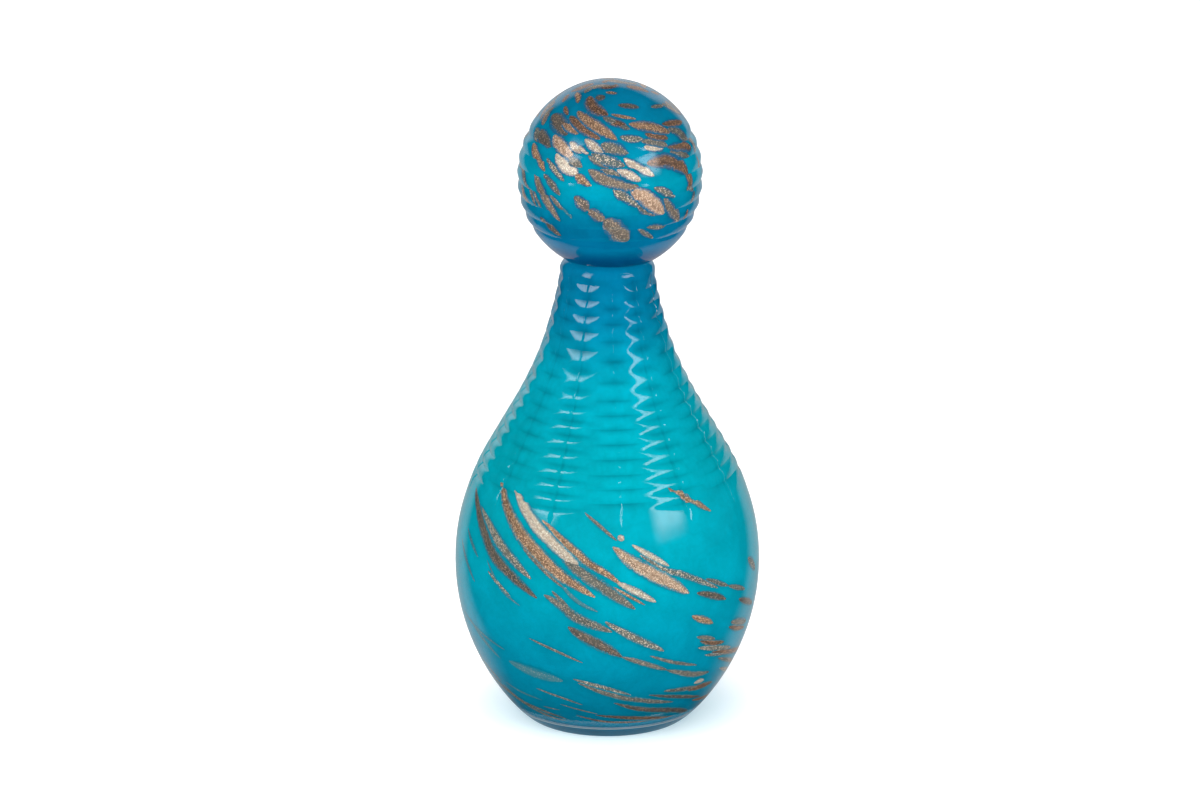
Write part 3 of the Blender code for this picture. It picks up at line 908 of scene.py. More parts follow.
@dataclass
class BallShape:
    """Sizes of the ball, in metres, and the shells that follow from them.

    Attributes:
        offset: How far its axis stands to the right of the bottle's.
        seat: Height at which it sits on the lip.
        front: Azimuth of the front column of cuts.
        half_widths: Half widths of the columns in front and behind, and of those at the sides.
        top_cut: Latitude of the highest cut.
        flare: See mitre.
        flat_latitude: Latitude of the middle of each side flat.
        flat_depth: How deep the flat is ground there.
    """

    radius: float = 0.0465
    half_height: float = 0.0484
    offset: float = 0.0013
    seat: float = 0.2423
    centre_height: float = 0.28382
    casing_wall: float = 0.0050
    streak_seam: float = 0.0013
    stem_radius: float = 0.0100
    lip_radius: float = 0.0239
    cut_depth: float = 0.0010
    front: float = math.radians(-2)
    half_widths: tuple[float, ...] = (math.radians(30), math.radians(60))
    cuts: int = 7
    top_cut: float = math.radians(26.8)
    cut_step: float = math.radians(9.6)
    flare: float = 0.55
    flat_latitude: float = math.radians(-48)
    flat_depth: float = 0.0012

    @property
    def centre(self) -> Vector:
        """Middle of the ball."""
        return Vector((self.offset, 0.0, self.centre_height))

    @property
    def ridges(self) -> list[float]:
        """Latitudes of the ridges on both sides of the cuts, from the top down."""
        return [self.top_cut + self.cut_step * (0.5 - index) for index in range(self.cuts + 1)]

    def shell(self, inset: float, latitude: float) -> tuple[float, float]:
        """Radius and height over the centre of a shell inset from the outside."""
        return (
            (self.radius - inset) * math.cos(latitude), (self.half_height - inset) * math.sin(latitude))

    def shell_latitude(self, inset: float, radius: float) -> float:
        """Latitude under the middle at which a shell has a radius."""
        return -math.acos(radius / (self.radius - inset))

    def layer(self, azimuth: float, latitude: float, depth: float) -> Vector:
        """Point at a depth under the outside."""
        radius, height = self.shell(depth, latitude)
        return self.centre + Vector((radius * math.sin(azimuth), -radius * math.cos(azimuth), height))

    def cut_share(self, azimuth: float, latitude: float) -> float:
        """Depth of the cuts at a place, as a share of the deepest one."""
        share = 0.0
        for row, (high, low) in enumerate(zip(self.ridges, self.ridges[1:])):
            if low <= latitude <= high:
                off = abs(2 * latitude - low - high) / (high - low)
                uneven = 1 + BY_HAND * noise.noise(Vector((2.9, row * 1.7, 4.5)))
                for quarter in range(4):
                    middle = self.front + quarter * math.pi / 2
                    half_width = self.half_widths[quarter % 2]
                    across = math.remainder(azimuth - middle, 2 * math.pi) / half_width
                    share = max(share, mitre(across, off, self.flare) * uneven)
        return share


# Camera and studio.


@dataclass
class PhotoCamera:
    """Camera at the photograph's viewing angle, and the way from a pixel to the glass.

    Attributes:
        pixel: Width of a pixel at the bottle's axis.
        axis_pixel: Column of the photograph in which the axis stands.
        reach: Distances between which a ray is searched for the glass.
        steps: Steps of that search.
        halvings: How often the last step is halved.
        corrections: How often the height over a layer's place is corrected.
        probe: Height over which the glass's slope is taken.
    """

    width: int = 1200
    height: int = 798
    elevation: float = math.radians(17)
    distance: float = 2.5
    aim_height: float = 0.1666
    pixel: float = 0.5066 * MM
    axis_pixel: float = 607.3
    sensor: float = 36.0
    ior: float = 1.5
    reach: tuple[float, float] = (2.15, 2.75)
    steps: int = 300
    halvings: int = 20
    corrections: int = 12
    probe: float = 0.5 * MM

    @property
    def forward(self) -> Vector:
        """Direction in which the camera looks."""
        return Vector((0, math.cos(self.elevation), -math.sin(self.elevation)))

    @property
    def origin(self) -> Vector:
        """Place of the lens."""
        side = (self.width / 2 - self.axis_pixel) * self.pixel
        return Vector((side, 0, self.aim_height)) - self.forward * self.distance

    def ray(self, x: float, y: float) -> Vector:
        """Direction of the ray through a pixel."""
        up = Vector((0, math.sin(self.elevation), math.cos(self.elevation)))
        across = Vector((1, 0, 0)) * (x - self.width / 2)
        focal = self.distance / self.pixel
        return (self.forward * focal + across - up * (y - self.height / 2)).normalized()

    def build(self) -> bpy.types.Object:
        """Add the camera and make it the scene's."""
        deselect()
        bpy.ops.object.camera_add(
            location=self.origin, rotation=(math.pi / 2 - self.elevation, 0, 0))
        camera = bpy.context.object
        camera.name = "photo_camera"
        camera.data.sensor_width = self.sensor
        camera.data.lens = self.sensor * self.distance / self.pixel / self.width
        camera.data.clip_start, camera.data.clip_end = 0.01, 50
        bpy.context.scene.camera = camera
        return camera

    def bend(self, ray: Vector, normal: Vector) -> Vector:
        """Direction of a ray inside the glass, along the normal's depth of one."""
        facing = -ray.dot(normal)
        inside = math.sqrt(1 - (1 - facing ** 2) / self.ior ** 2)
        bent = ray / self.ior + normal * (facing / self.ior - inside)
        return bent / inside

    def on_bottle(self, shape: BottleShape, pixel: Pixel, depth: float) -> tuple[float, float]:
        """Azimuth and height of the place of a layer that shows at a pixel.

        Args:
            shape: The bottle's shape.
            pixel: Column and row of the photograph.
            depth: Depth of the layer under the outside.

        Returns:
            The azimuth and the outside's height over that place.
        """
        ray = self.ray(*pixel)
        near, far = self.reach
        step = (far - near) / self.steps
        low, at = near, near
        nearest = (math.inf, near)
        for index in range(self.steps):
            at = near + step * index
            place = self.origin + ray * at
            gap = math.hypot(place.x, place.y) - shape.outer_radius(place.z)
            nearest = min(nearest, (gap, at))
            if gap < 0 <= place.z <= shape.height:
                break
            low = at
        else:
            low = at = nearest[1]
        for _ in range(self.halvings):
            middle = (low + at) / 2
            place = self.origin + ray * middle
            if math.hypot(place.x, place.y) <= shape.outer_radius(place.z):
                at = middle
            else:
                low = middle
        place = self.origin + ray * at
        above, below = (shape.outer_radius(place.z + self.probe * side) for side in (1, -1))
        slope = (above - below) / (2 * self.probe)
        radial = Vector((place.x, place.y, 0)).normalized()
        normal = (radial - Vector((0, 0, slope))).normalized()
        target = place + self.bend(ray, normal) * depth
        height = target.z
        for _ in range(self.corrections):
            height += target.z - shape.inward(height, depth)[1]
        return math.atan2(target.x, -target.y), max(height, 0.0)

    def on_ball(self, shape: BallShape, pixel: Pixel, depth: float) -> tuple[float, float]:
        """Azimuth and latitude of the place of a layer that shows at a pixel.

        Args:
            shape: The ball's shape.
            pixel: Column and row of the photograph.
            depth: Depth of the layer under the outside.

        Returns:
            The azimuth and the latitude.
        """
        squeeze = Vector((1 / shape.radius, 1 / shape.radius, 1 / shape.half_height))
        ray = self.ray(*pixel)
        start, heading = (self.origin - shape.centre) * squeeze, ray * squeeze
        inside = max(start.dot(heading) ** 2 - heading.dot(heading) * (start.dot(start) - 1), 0.0)
        at = (-start.dot(heading) - math.sqrt(inside)) / heading.dot(heading)
        place = self.origin - shape.centre + ray * at
        normal = (place * squeeze * squeeze).normalized()
        target = place + self.bend(ray, normal) * depth
        across = math.hypot(target.x, target.y) * (shape.half_height - depth)
        return math.atan2(target.x, -target.y), math.atan2(target.z * (shape.radius - depth), across)


@dataclass
class Softbox:
    """One soft lamp, given by where it stands round the bottle.

    Attributes:
        azimuth: Where it stands, in degrees from the front towards the right.
        elevation: How high it stands, in degrees.
        radiance: Its brightness in the middle.
        even: Share of its width that is as bright as the middle.
        mirrored: Whether gloss shows it.
    """

    name: str
    azimuth: float
    elevation: float
    width: float
    height: float
    radiance: float
    distance: float = 1.6
    aim_height: float = 0.17
    even: float = 0.30
    mirrored: bool = True

    def build(self) -> None:
        """Add the lamp."""
        azimuth, elevation = math.radians(self.azimuth), math.radians(self.elevation)
        towards = Vector((
            math.sin(azimuth) * math.cos(elevation), -math.cos(azimuth) * math.cos(elevation),
            math.sin(elevation)))
        deselect()
        bpy.ops.object.light_add(
            type="AREA", location=towards * self.distance + Vector((0, 0, self.aim_height)),
            rotation=towards.to_track_quat("Z", "Y").to_euler())
        lamp = bpy.context.object
        lamp.name = self.name
        lamp.data.shape = "RECTANGLE"
        lamp.data.size = self.width
        lamp.data.size_y = self.height
        lamp.data.energy = self.radiance * math.pi * self.width * self.height
        lamp.visible_glossy = self.mirrored
        # The cloth of a softbox is brightest in the middle.
        lamp.data.use_nodes = True
        tree = lamp.data.node_tree
        tree.nodes.clear()
        sheet = add(tree, "NewGeometry").outputs["Parametric"]
        sides = add(tree, "SeparateXYZ", {"Vector": sheet}).outputs
        fades = []
        for axis in ("X", "Y"):
            off = add(tree, "Math", {0: sides[axis], 1: 0.5}, operation="SUBTRACT")
            far = add(tree, "Math", {0: off}, operation="ABSOLUTE")
            fades.append(add(
                tree, "MapRange", {"Value": far, "From Min": 0.5, "From Max": self.even / 2},
                interpolation_type="SMOOTHSTEP"))
        both = add(tree, "Math", dict(enumerate(fades)), operation="MULTIPLY")
        light = add(tree, "Emission", {"Strength": both})
        add(tree, "OutputLight", {"Surface": light})


@dataclass
class Studio:
    """White paper sweep, two softboxes, a fill lamp and a dim room.

    Attributes:
        room: The room's colour.
        room_strength: Its light.
        room_mirrored: The same as gloss shows it.
        front: Length of the paper's floor in front of the bottle.
        back: Length behind it.
        bend_radius: Radius of the bend from the floor to the wall.
        bend_steps: Steps of that bend.
        rise: Height of the wall.
    """

    paper: StudioPaper = field(default_factory=StudioPaper)
    room: str = "B0B2B6"
    room_strength: float = 1.75
    room_mirrored: float = 0.04
    half_width: float = 5.0
    front: float = 4.5
    back: float = 3.3
    bend_radius: float = 0.87
    bend_steps: int = 16
    rise: float = 3.8
    lamps: tuple[Softbox, ...] = (
        Softbox("softbox_right", 52, 23, 1.00, 0.92, 4.2, even=0.36),
        Softbox("softbox_left", -54, 31, 0.80, 1.15, 4.2),
        Softbox("fill_front", -14, 40, 1.60, 1.80, 1.75, even=0.98, mirrored=False),
    )

    def sweep(self) -> None:
        """Build the paper, as a floor with a bend and a wall behind."""
        deselect()
        bpy.ops.mesh.primitive_plane_add(size=2, location=(0, 0, 0))
        sweep = bpy.context.object
        sweep.name = sweep.data.name = "paper_sweep"
        sweep.scale = (self.half_width, (self.front + self.back) / 2, 1)
        sweep.location.y = (self.back - self.front) / 2
        bpy.ops.object.transform_apply(location=True, rotation=True, scale=True)
        for vertex in sweep.data.vertices:
            vertex.select = vertex.co.y > 0
        for edge in sweep.data.edges:
            edge.select = all(sweep.data.vertices[index].co.y > 0 for index in edge.vertices)
        for face in sweep.data.polygons:
            face.select = False
        bpy.ops.object.mode_set(mode="EDIT")
        bpy.ops.mesh.extrude_region_move(TRANSFORM_OT_translate={"value": (0, 0, self.rise)})
        bpy.ops.object.mode_set(mode="OBJECT")
        fold = sweep.modifiers.new("fold", "BEVEL")
        fold.width = self.bend_radius
        fold.segments = self.bend_steps
        fold.limit_method = "ANGLE"
        take(sweep)
        bpy.ops.object.modifier_apply(modifier=fold.name)
        bpy.ops.object.shade_smooth_by_angle(angle=SHARP)
        sweep.data.materials.append(self.paper.material())

    def world(self) -> None:
        """Build the room's light."""
        world = bpy.data.worlds.new("dim_room")
        bpy.context.scene.world = world
        world.use_nodes = True
        tree = world.node_tree
        tree.nodes.clear()
        # The room in front of the bottle is dark, which its gloss shows.
        path = add(tree, "LightPath").outputs
        strength = add(tree, "MapRange", {
            "Value": path["Is Glossy Ray"], "To Min": self.room_strength,
            "To Max": self.room_mirrored})
        light = add(tree, "Background", {"Color": linear(self.room), "Strength": strength})
        # Past the edge of the paper the lens sees white too.
        white = add(tree, "Background", {"Color": linear("FFFFFF")})
        seen = add(tree, "MixShader", {0: path["Is Camera Ray"], 1: light, 2: white})
        add(tree, "OutputWorld", {"Surface": seen})

    def build(self) -> None:
        """Build the sweep, the lamps and the world."""
        self.sweep()
        for lamp in self.lamps:
            lamp.build()
        self.world()
        LOG.info("studio: %d lamps", len(self.lamps))


# Streaks.


@dataclass(frozen=True)
class Streak:
    """One drawn-out chip, as it shows in the photograph.

    Attributes:
        tone: Its look.
        width: Its width in pixels.
        path: Pixels along its middle line.
    """

    tone: Tone
    width: float
    path: tuple[Pixel, ...]

    @property
    def pods(self) -> int:
        """How many times it swells along its length."""
        return 2 if self.path[0] in TWO_PODS else 1


def streaks(*rows: tuple) -> tuple[Streak, ...]:
    """Streaks from rows of a tone, a width and the pixels along a middle line."""
    return tuple(Streak(tone, width, tuple(path)) for tone, width, *path in rows)


COPPER, GOLD, TAUPE, CREAM, GREY, DARK, SPARKLY, RED, FAINT = Tone
# First pixels of the streaks that swell twice.
TWO_PODS = ((706, 579), (574, 196))
BOTTLE_STREAKS = streaks(
    (COPPER, 13, (501, 481), (506, 504), (518, 530), (540, 556), (562, 576), (595, 597)),
    (CREAM, 12, (515, 489), (523, 506), (535, 524), (556, 546), (576, 566), (590, 578)),
    (GREY, 11, (556, 550), (578, 570), (602, 587), (635, 609)),
    (COPPER, 8, (542, 520), (567, 544), (590, 564), (608, 575), (622, 585)),
    (CREAM, 7, (616, 582), (638, 593), (656, 602)),
    (DARK, 12, (476, 488), (480, 516), (485, 534), (494, 555), (509, 573), (537, 598)),
    (SPARKLY, 10, (481, 506), (491, 528), (498, 540), (509, 555), (531, 579)),
    (GREY, 9.5, (544, 595), (560, 605), (575, 617), (612, 632)),
    (SPARKLY, 8, (605, 622), (631, 636), (664, 651)),
    (DARK, 11, (568, 627), (587, 639), (609, 650), (622, 657)),
    (GREY, 6, (622, 657), (645, 664), (667, 670)),
    (GREY, 6, (667, 670), (685, 673), (700, 674)),
    (GREY, 3, (529, 638), (556, 651), (583, 663)),
    (GREY, 7, (578, 683), (605, 693), (631, 699), (673, 702)),
    (DARK, 8, (614, 703), (640, 709), (676, 710), (690, 712)),
    (GREY, 5, (503, 684), (521, 700), (542, 710), (567, 719)),
    (FAINT, 3, (464, 610), (483, 634), (505, 650)),
    (COPPER, 6, (668, 487), (690, 500), (711, 511)),
    (GOLD, 13, (613, 547), (629, 560), (656, 576), (689, 593)),
    (SPARKLY, 6, (640, 555), (665, 570), (681, 574), (718, 588)),
    (GREY, 5, (706, 579), (726, 585), (745, 589)),
    (DARK, 7, (697, 593), (712, 595), (726, 599)),
    (COPPER, 7, (692, 616), (703, 620), (713, 623)),
    (GREY, 8, (731, 622), (739, 622), (746, 621)),
    (SPARKLY, 6, (698, 648), (714, 648), (731, 647)),
)
BOTTLE_FINE_STREAKS = streaks(
    (COPPER, 3, (613, 587), (645, 605)),
    (GREY, 4, (512, 531), (528, 553), (560, 585), (567, 589)),
    (SPARKLY, 4, (488, 571), (510, 596)),
    (FAINT, 4, (468, 528), (478, 557)),
    (FAINT, 4, (462, 538), (465, 555), (475, 582)),
    (GREY, 4, (552, 591), (571, 610)),
    (GREY, 4, (650, 656), (672, 662), (697, 665)),
    (SPARKLY, 5, (573, 679), (605, 688), (631, 695)),
    (GREY, 6, (664, 691), (700, 686)),
    (DARK, 5, (649, 695), (700, 696)),
    (RED, 4, (576, 715), (600, 721), (640, 722), (672, 718)),
    (GREY, 3, (536, 688), (563, 698), (583, 705)),
    (GREY, 2, (560, 704), (598, 714)),
    (FAINT, 3, (506, 682), (518, 690), (542, 700)),
    (GREY, 2, (543, 706), (560, 710)),
    (GREY, 4, (479, 653), (501, 681)),
    (CREAM, 6, (632, 545), (669, 566)),
    (GREY, 9, (748, 558), (752, 563), (755, 569)),
    (DARK, 7, (739, 599), (752, 603)),
    (GREY, 5, (697, 637), (715, 639)),
    (SPARKLY, 4, (705, 655), (726, 653)),
    (GREY, 5, (718, 658), (730, 660), (739, 662)),
    (SPARKLY, 5, (720, 668), (729, 670), (737, 670)),
    (GREY, 3.5, (585, 513), (601, 527), (617, 541)),
    (CREAM, 6, (618, 536), (621, 538), (624, 540)),
    (RED, 7, (712, 652), (728, 651), (741, 648)),
    (RED, 6, (729, 627), (737, 628), (744, 627)),
    (GREY, 7, (676, 673), (693, 674), (709, 672)),
    (RED, 6, (692, 700), (701, 698), (711, 693)),
    (RED, 8, (686, 690), (698, 687), (712, 682)),
    (CREAM, 6, (694, 683), (699, 681), (704, 680)),
    (RED, 6, (700, 641), (712, 643), (724, 642)),
    (GREY, 5, (483, 663), (505, 688), (542, 713), (575, 724)),
    (FAINT, 11, (509, 661), (530, 671), (563, 681)),
    (FAINT, 5, (470, 618), (484, 640), (500, 658)),
    (RED, 6, (595, 715), (640, 718), (684, 715)),
    (FAINT, 3, (487, 560), (502, 590), (520, 606)),
    (FAINT, 4, (560, 584), (578, 602), (598, 612)),
)
BALL_STREAKS = streaks(
    (COPPER, 11, (578, 111), (597, 127), (617, 140)),
    (COPPER, 11, (629, 124), (650, 127), (670, 132)),
    (DARK, 15, (553, 114), (560, 125), (567, 135)),
    (GOLD, 12, (554, 135), (562, 147), (573, 157)),
    (CREAM, 12, (556, 154), (565, 166), (578, 174)),
    (GREY, 12, (601, 144), (615, 149), (629, 154)),
    (COPPER, 8, (532, 145), (538, 158), (545, 171)),
    (TAUPE, 10, (534, 173), (542, 192), (560, 221)),
    (TAUPE, 11, (588, 171), (610, 182), (639, 188)),
    (RED, 13, (647, 163), (666, 161), (681, 166), (688, 172)),
    (SPARKLY, 9, (613, 191), (626, 198), (638, 207)),
    (GOLD, 15, (631, 191), (647, 199), (664, 214)),
    (TAUPE, 11, (574, 196), (589, 210), (604, 222)),
    (TAUPE, 18, (604, 221), (616, 231), (628, 240)),
    (TAUPE, 10, (664, 199), (671, 210), (679, 220)),
)
BALL_FINE_STREAKS = streaks(
    (RED, 12, (590, 96), (594, 108), (608, 115)),
    (RED, 10, (570, 116), (585, 129), (600, 139)),
    (RED, 7, (662, 124), (682, 121)),
    (SPARKLY, 7, (620, 137), (631, 139), (643, 139)),
    (COPPER, 9, (563, 119), (578, 134)),
    (CREAM, 8, (570, 142), (582, 154)),
    (CREAM, 8, (585, 139), (594, 146), (604, 152)),
    (SPARKLY, 8, (591, 155), (608, 161), (625, 165)),
    (GREY, 8, (566, 157), (582, 166)),
    (GREY, 5, (588, 157), (609, 167)),
    (SPARKLY, 6, (547, 158), (564, 181)),
    (GREY, 7, (544, 174), (552, 185), (560, 195)),
    (COPPER, 8, (575, 174), (591, 187)),
    (CREAM, 8, (624, 159), (640, 168), (654, 176)),
    (GREY, 8, (687, 186), (691, 188), (694, 192)),
    (SPARKLY, 7, (654, 188), (665, 192), (675, 198)),
    (GREY, 8, (637, 206), (657, 215)),
    (GREY, 5, (550, 195), (563, 210)),
    (DARK, 8, (540, 217), (550, 227), (561, 236)),
    (GREY, 6, (647, 227), (656, 227), (666, 227)),
    (GREY, 5, (638, 230), (653, 238)),
    (RED, 7, (595, 85), (616, 84)),
    (RED, 10, (626, 86), (638, 88), (649, 92)),
    (COPPER, 5, (606, 92), (617, 93)),
    (DARK, 7, (618, 105), (628, 106), (639, 107)),
    (COPPER, 4, (611, 114), (636, 119)),
    (GREY, 5, (651, 107), (663, 105)),
    (COPPER, 6, (577, 92), (578, 97), (578, 103)),
    (GREY, 5, (519, 163), (523, 176), (528, 188)),
    (GREY, 5, (526, 182), (531, 194), (536, 205)),
    (GREY, 7, (585, 93), (596, 85)),
    (RED, 6, (563, 102), (569, 94)),
    (DARK, 9, (595, 99), (605, 96)),
    (GREY, 6, (662, 104), (673, 107)),
    (GREY, 7, (603, 117), (612, 121), (622, 125)),
    (GREY, 6, (617, 124), (630, 129)),
    (GREY, 7, (641, 141), (653, 142), (667, 144)),
    (RED, 8, (645, 134), (656, 136), (668, 138)),
    (GREY, 10, (668, 129), (680, 133), (690, 141)),
    (RED, 9, (666, 147), (680, 146), (691, 147)),
    (CREAM, 7, (644, 147), (654, 148), (664, 149)),
    (GREY, 6, (670, 152), (680, 153), (691, 156)),
    (RED, 9, (686, 173), (690, 180), (689, 189)),
    (GREY, 6, (600, 171), (610, 173), (620, 177)),
    (CREAM, 7, (617, 171), (629, 175), (641, 180)),
    (DARK, 11, (539, 130), (544, 138), (551, 148)),
    (RED, 5, (565, 106), (568, 115)),
    (GREY, 8, (541, 122), (547, 113), (554, 107)),
    (GREY, 4, (533, 193), (541, 206)),
    (FAINT, 3, (562, 207), (572, 219)),
    (RED, 5, (688, 211), (684, 219)),
    (GREY, 5, (695, 193), (691, 202)),
    (CREAM, 6, (577, 145), (588, 155)),
    (TAUPE, 8, (590, 89), (601, 86), (613, 85)),
    (TAUPE, 8, (547, 109), (551, 105), (555, 101)),
    (TAUPE, 9, (543, 125), (546, 116), (551, 109)),
    (GREY, 9, (536, 128), (538, 136), (541, 144)),
    (TAUPE, 8, (631, 87), (637, 88), (643, 90)),
    (TAUPE, 8, (664, 105), (673, 109), (681, 114)),
    (GREY, 8, (689, 136), (693, 143), (696, 151)),
    (TAUPE, 6, (518, 150), (518, 160), (520, 170)),
    (TAUPE, 5, (520, 186), (525, 197), (532, 208)),
    (RED, 8, (606, 121), (616, 123), (627, 126)),
)


@dataclass
class StreakMaker:
    """Lays drawn-out chips of glitter glass on a layer of the bottle or the ball.

    Attributes:
        place: Gives (azimuth, level) of the layer from a pixel.
        layer: Gives the layer's point from azimuth, level and depth.
        depth: Depth of the layer's middle.
        pixel: Metres to a pixel.
        thickness: Thickness of a chip at its middle.
        spread: Width of the whole smear to the width that shows.
        grain: Length of the mesh's steps along a chip.
        across: Steps across a chip.
        fullness: Power of the round by which a chip tapers to its ends.
        ragged: How much its edge is torn, as a share of its width.
        wander: How far it strays from its line, as a share of its width.
        ragged_length: Length between two tears.
        wander_length: Length between two bends.
        samples: Steps by which its length is measured.
        probe: Share of its length over which its direction is taken.
        end: Least of the round at its ends.
        thin_edge: Thickness at its long edges, as a share.
        thin_end: The same at its ends.
        thinnest: The same where both meet, at least.
    """

    place: Callable[[Pixel], tuple[float, float]]
    layer: Callable[[float, float, float], Vector]
    depth: float
    pixel: float
    thickness: float = 0.30 * MM
    spread: float = 1.25
    grain: float = 0.8 * MM
    across: int = 8
    fullness: float = 0.55
    ragged: float = 0.12
    wander: float = 0.06
    ragged_length: float = 2.2 * MM
    wander_length: float = 7 * MM
    samples: int = 16
    probe: float = 0.02
    end: float = 0.02
    thin_edge: float = 0.08
    thin_end: float = 0.2
    thinnest: float = 0.1

    def course(self, streak: Streak, turn: float) -> Callable[[float], tuple[float, float]]:
        """Smooth course of a streak over its layer.

        Args:
            streak: The streak.
            turn: Angle by which it is turned round the axis.

        Returns:
            A function from a share of the length to (azimuth, level).
        """
        marks = [self.place(pixel) for pixel in streak.path]
        spans = [0.0]
        for before, after in zip(marks, marks[1:]):
            gap = self.layer(*after, self.depth) - self.layer(*before, self.depth)
            spans.append(spans[-1] + max(gap.length, MERGE))
        shares = [span / spans[-1] for span in spans]

        def at(share: float) -> tuple[float, float]:
            """Azimuth and level at a share of the length."""
            index = 0
            while index < len(shares) - 2 and share > shares[index + 1]:
                index += 1
            start, end = shares[index], shares[index + 1]
            t = (share - start) / (end - start)
            values = []
            for axis in (0, 1):
                low, high = marks[index][axis], marks[index + 1][axis]
                before = marks[index - 1][axis] if index else low
                after = marks[index + 2][axis] if index + 2 < len(marks) else high
                behind = shares[index - 1] if index else start
                lead = (high - before) / (end - behind) * (end - start)
                beyond = shares[index + 2] if index + 2 < len(marks) else end
                trail = (after - low) / (beyond - start) * (end - start)
                values.append(
                    low + (high - low) * t * t * (3 - 2 * t)
                    + lead * t * (1 - t) ** 2 - trail * t * t * (1 - t))
            return values[0] + turn, values[1]

        return at

    def lay(self, name: str, streak: Streak, turn: float = 0.0) -> bpy.types.Object:
        """Model one streak.

        Args:
            name: Name of the new object.
            streak: The streak.
            turn: Angle by which it is turned round the axis.

        Returns:
            The object: a grid laid on the layer and thickened to a lens.
        """
        at = self.course(streak, turn)
        marks = [
            self.layer(*at(index / self.samples), self.depth) for index in range(self.samples + 1)]
        length = sum((after - before).length for before, after in zip(marks, marks[1:]))
        half = streak.width * self.pixel * self.spread / 2
        deselect()
        bpy.ops.mesh.primitive_grid_add(
            x_subdivisions=max(round(length / self.grain), 8), y_subdivisions=self.across,
            size=1, location=(0, 0, 0))
        piece = bpy.context.object
        piece.name = piece.data.name = name
        group = piece.vertex_groups.new(name="thickness")
        seed = hash_place(streak.path[0], turn)
        placed = []
        for vertex in piece.data.vertices:
            share, side = vertex.co.x + 0.5, vertex.co.y * 2
            azimuth, level = at(share)
            here = self.layer(azimuth, level, self.depth)
            out = (self.layer(azimuth, level, self.depth - MM) - here).normalized()
            ahead = self.layer(*at(min(share + self.probe, 1.0)), self.depth)
            behind = self.layer(*at(max(share - self.probe, 0.0)), self.depth)
            beside = (ahead - behind).normalized().cross(out)
            pod = share * streak.pods % 1 if 0 < share < 1 else 0.0
            full = max(4 * pod * (1 - pod), self.end) ** self.fullness
            rough = noise.noise(Vector((share * length / self.ragged_length, seed, 1.3 * (side > 0))))
            wide = half * full * (1 + self.ragged * rough * abs(side))
            stray = noise.noise(Vector((share * length / self.wander_length, seed, 5.0)))
            thick = max(1 - side * side, self.thin_edge) * max(full, self.thin_end)
            group.add([vertex.index], thick, "REPLACE")
            aside = side * wide + stray * half * self.wander
            placed.append((here + beside * aside, share * length / MM, side))
        sheet = piece.data.uv_layers.active.data
        for loop in piece.data.loops:
            _, along, side = placed[loop.vertex_index]
            sheet[loop.index].uv = (along + seed, side)
        for vertex, (target, _, _) in zip(piece.data.vertices, placed):
            vertex.co = target
        body = piece.modifiers.new("body", "SOLIDIFY")
        body.thickness = self.thickness
        body.offset = 0.0
        body.vertex_group = group.name
        body.thickness_vertex_group = self.thinnest
        take(piece)
        bpy.ops.object.modifier_apply(modifier=body.name)
        bpy.ops.object.mode_set(mode="EDIT")
        bpy.ops.mesh.select_all(action="SELECT")
        bpy.ops.mesh.normals_make_consistent(inside=False)
        bpy.ops.object.mode_set(mode="OBJECT")
        piece.vertex_groups.clear()
        return piece


def hash_place(pixel: Pixel, turn: float) -> float:
    """A number that differs from streak to streak.

    Args:
        pixel: First pixel of the streak.
        turn: Its turn round the axis.

    Returns:
        The number.
    """
    return (pixel[0] * 7.31 + pixel[1] * 3.17 + turn * 11.9) % 97


def join(name: str, parts: Sequence[bpy.types.Object]) -> bpy.types.Object:
    """Join objects, with their materials, into one.

    Args:
        name: Name of the joined object.
        parts: The objects.

    Returns:
        The joined object.
    """
    deselect()
    for part in parts:
        part.select_set(True)
    bpy.context.view_layer.objects.active = parts[0]
    bpy.ops.object.join()
    parts[0].name = parts[0].data.name = name
    return parts[0]


@dataclass
class StreakSet:
    """The streaks of one body: one piece for each node, and the fine ones together.

    Attributes:
        main: The streaks that stand for nodes, in the order of their numbers.
        fine: The small ones.
        back: Places in main of those that stand for nodes on the back too.
    """

    body: str
    prefix: str
    node_prefix: str
    maker: StreakMaker
    main: tuple[Streak, ...]
    fine: tuple[Streak, ...]
    back: tuple[int, ...]
    materials: dict[Tone, bpy.types.Material]

    def build(self) -> None:
        """Build all the streaks."""
        for number, streak in enumerate(self.main, start=1):
            self.single(streak, number, 0.0)
        for offset, number in enumerate(self.back, start=1):
            self.single(self.main[number], len(self.main) + offset, math.pi)
        rest = [streak for index, streak in enumerate(self.main) if index not in self.back]
        self.group(f"{self.prefix}_fine_front", self.fine, 0.0)
        self.group(f"{self.prefix}_fine_back", self.fine + tuple(rest), math.pi)

    def single(self, streak: Streak, number: int, turn: float) -> None:
        """Build a streak that stands for a node."""
        piece = self.maker.lay(f"{self.prefix}_{number:02d}", streak, turn)
        node = f"{self.node_prefix}_{number:02d}"
        dress(piece, self.materials[streak.tone], self.body, node)

    def group(self, name: str, streaks: Sequence[Streak], turn: float) -> None:
        """Build a group of fine streaks as one piece.

        Args:
            name: Name of the piece.
            streaks: The streaks.
            turn: Angle by which they are turned round the axis.
        """
        parts = []
        for number, streak in enumerate(streaks):
            part = self.maker.lay(f"{name}_{number}", streak, turn)
            part.data.materials.append(self.materials[streak.tone])
            take(part)
            bpy.ops.object.shade_smooth_by_angle(angle=SHARP)
            parts.append(part)
        piece = join(name, parts)
        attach(piece, self.body)
        LOG.info("%s: %d streaks", name, len(parts))


# The bottle.


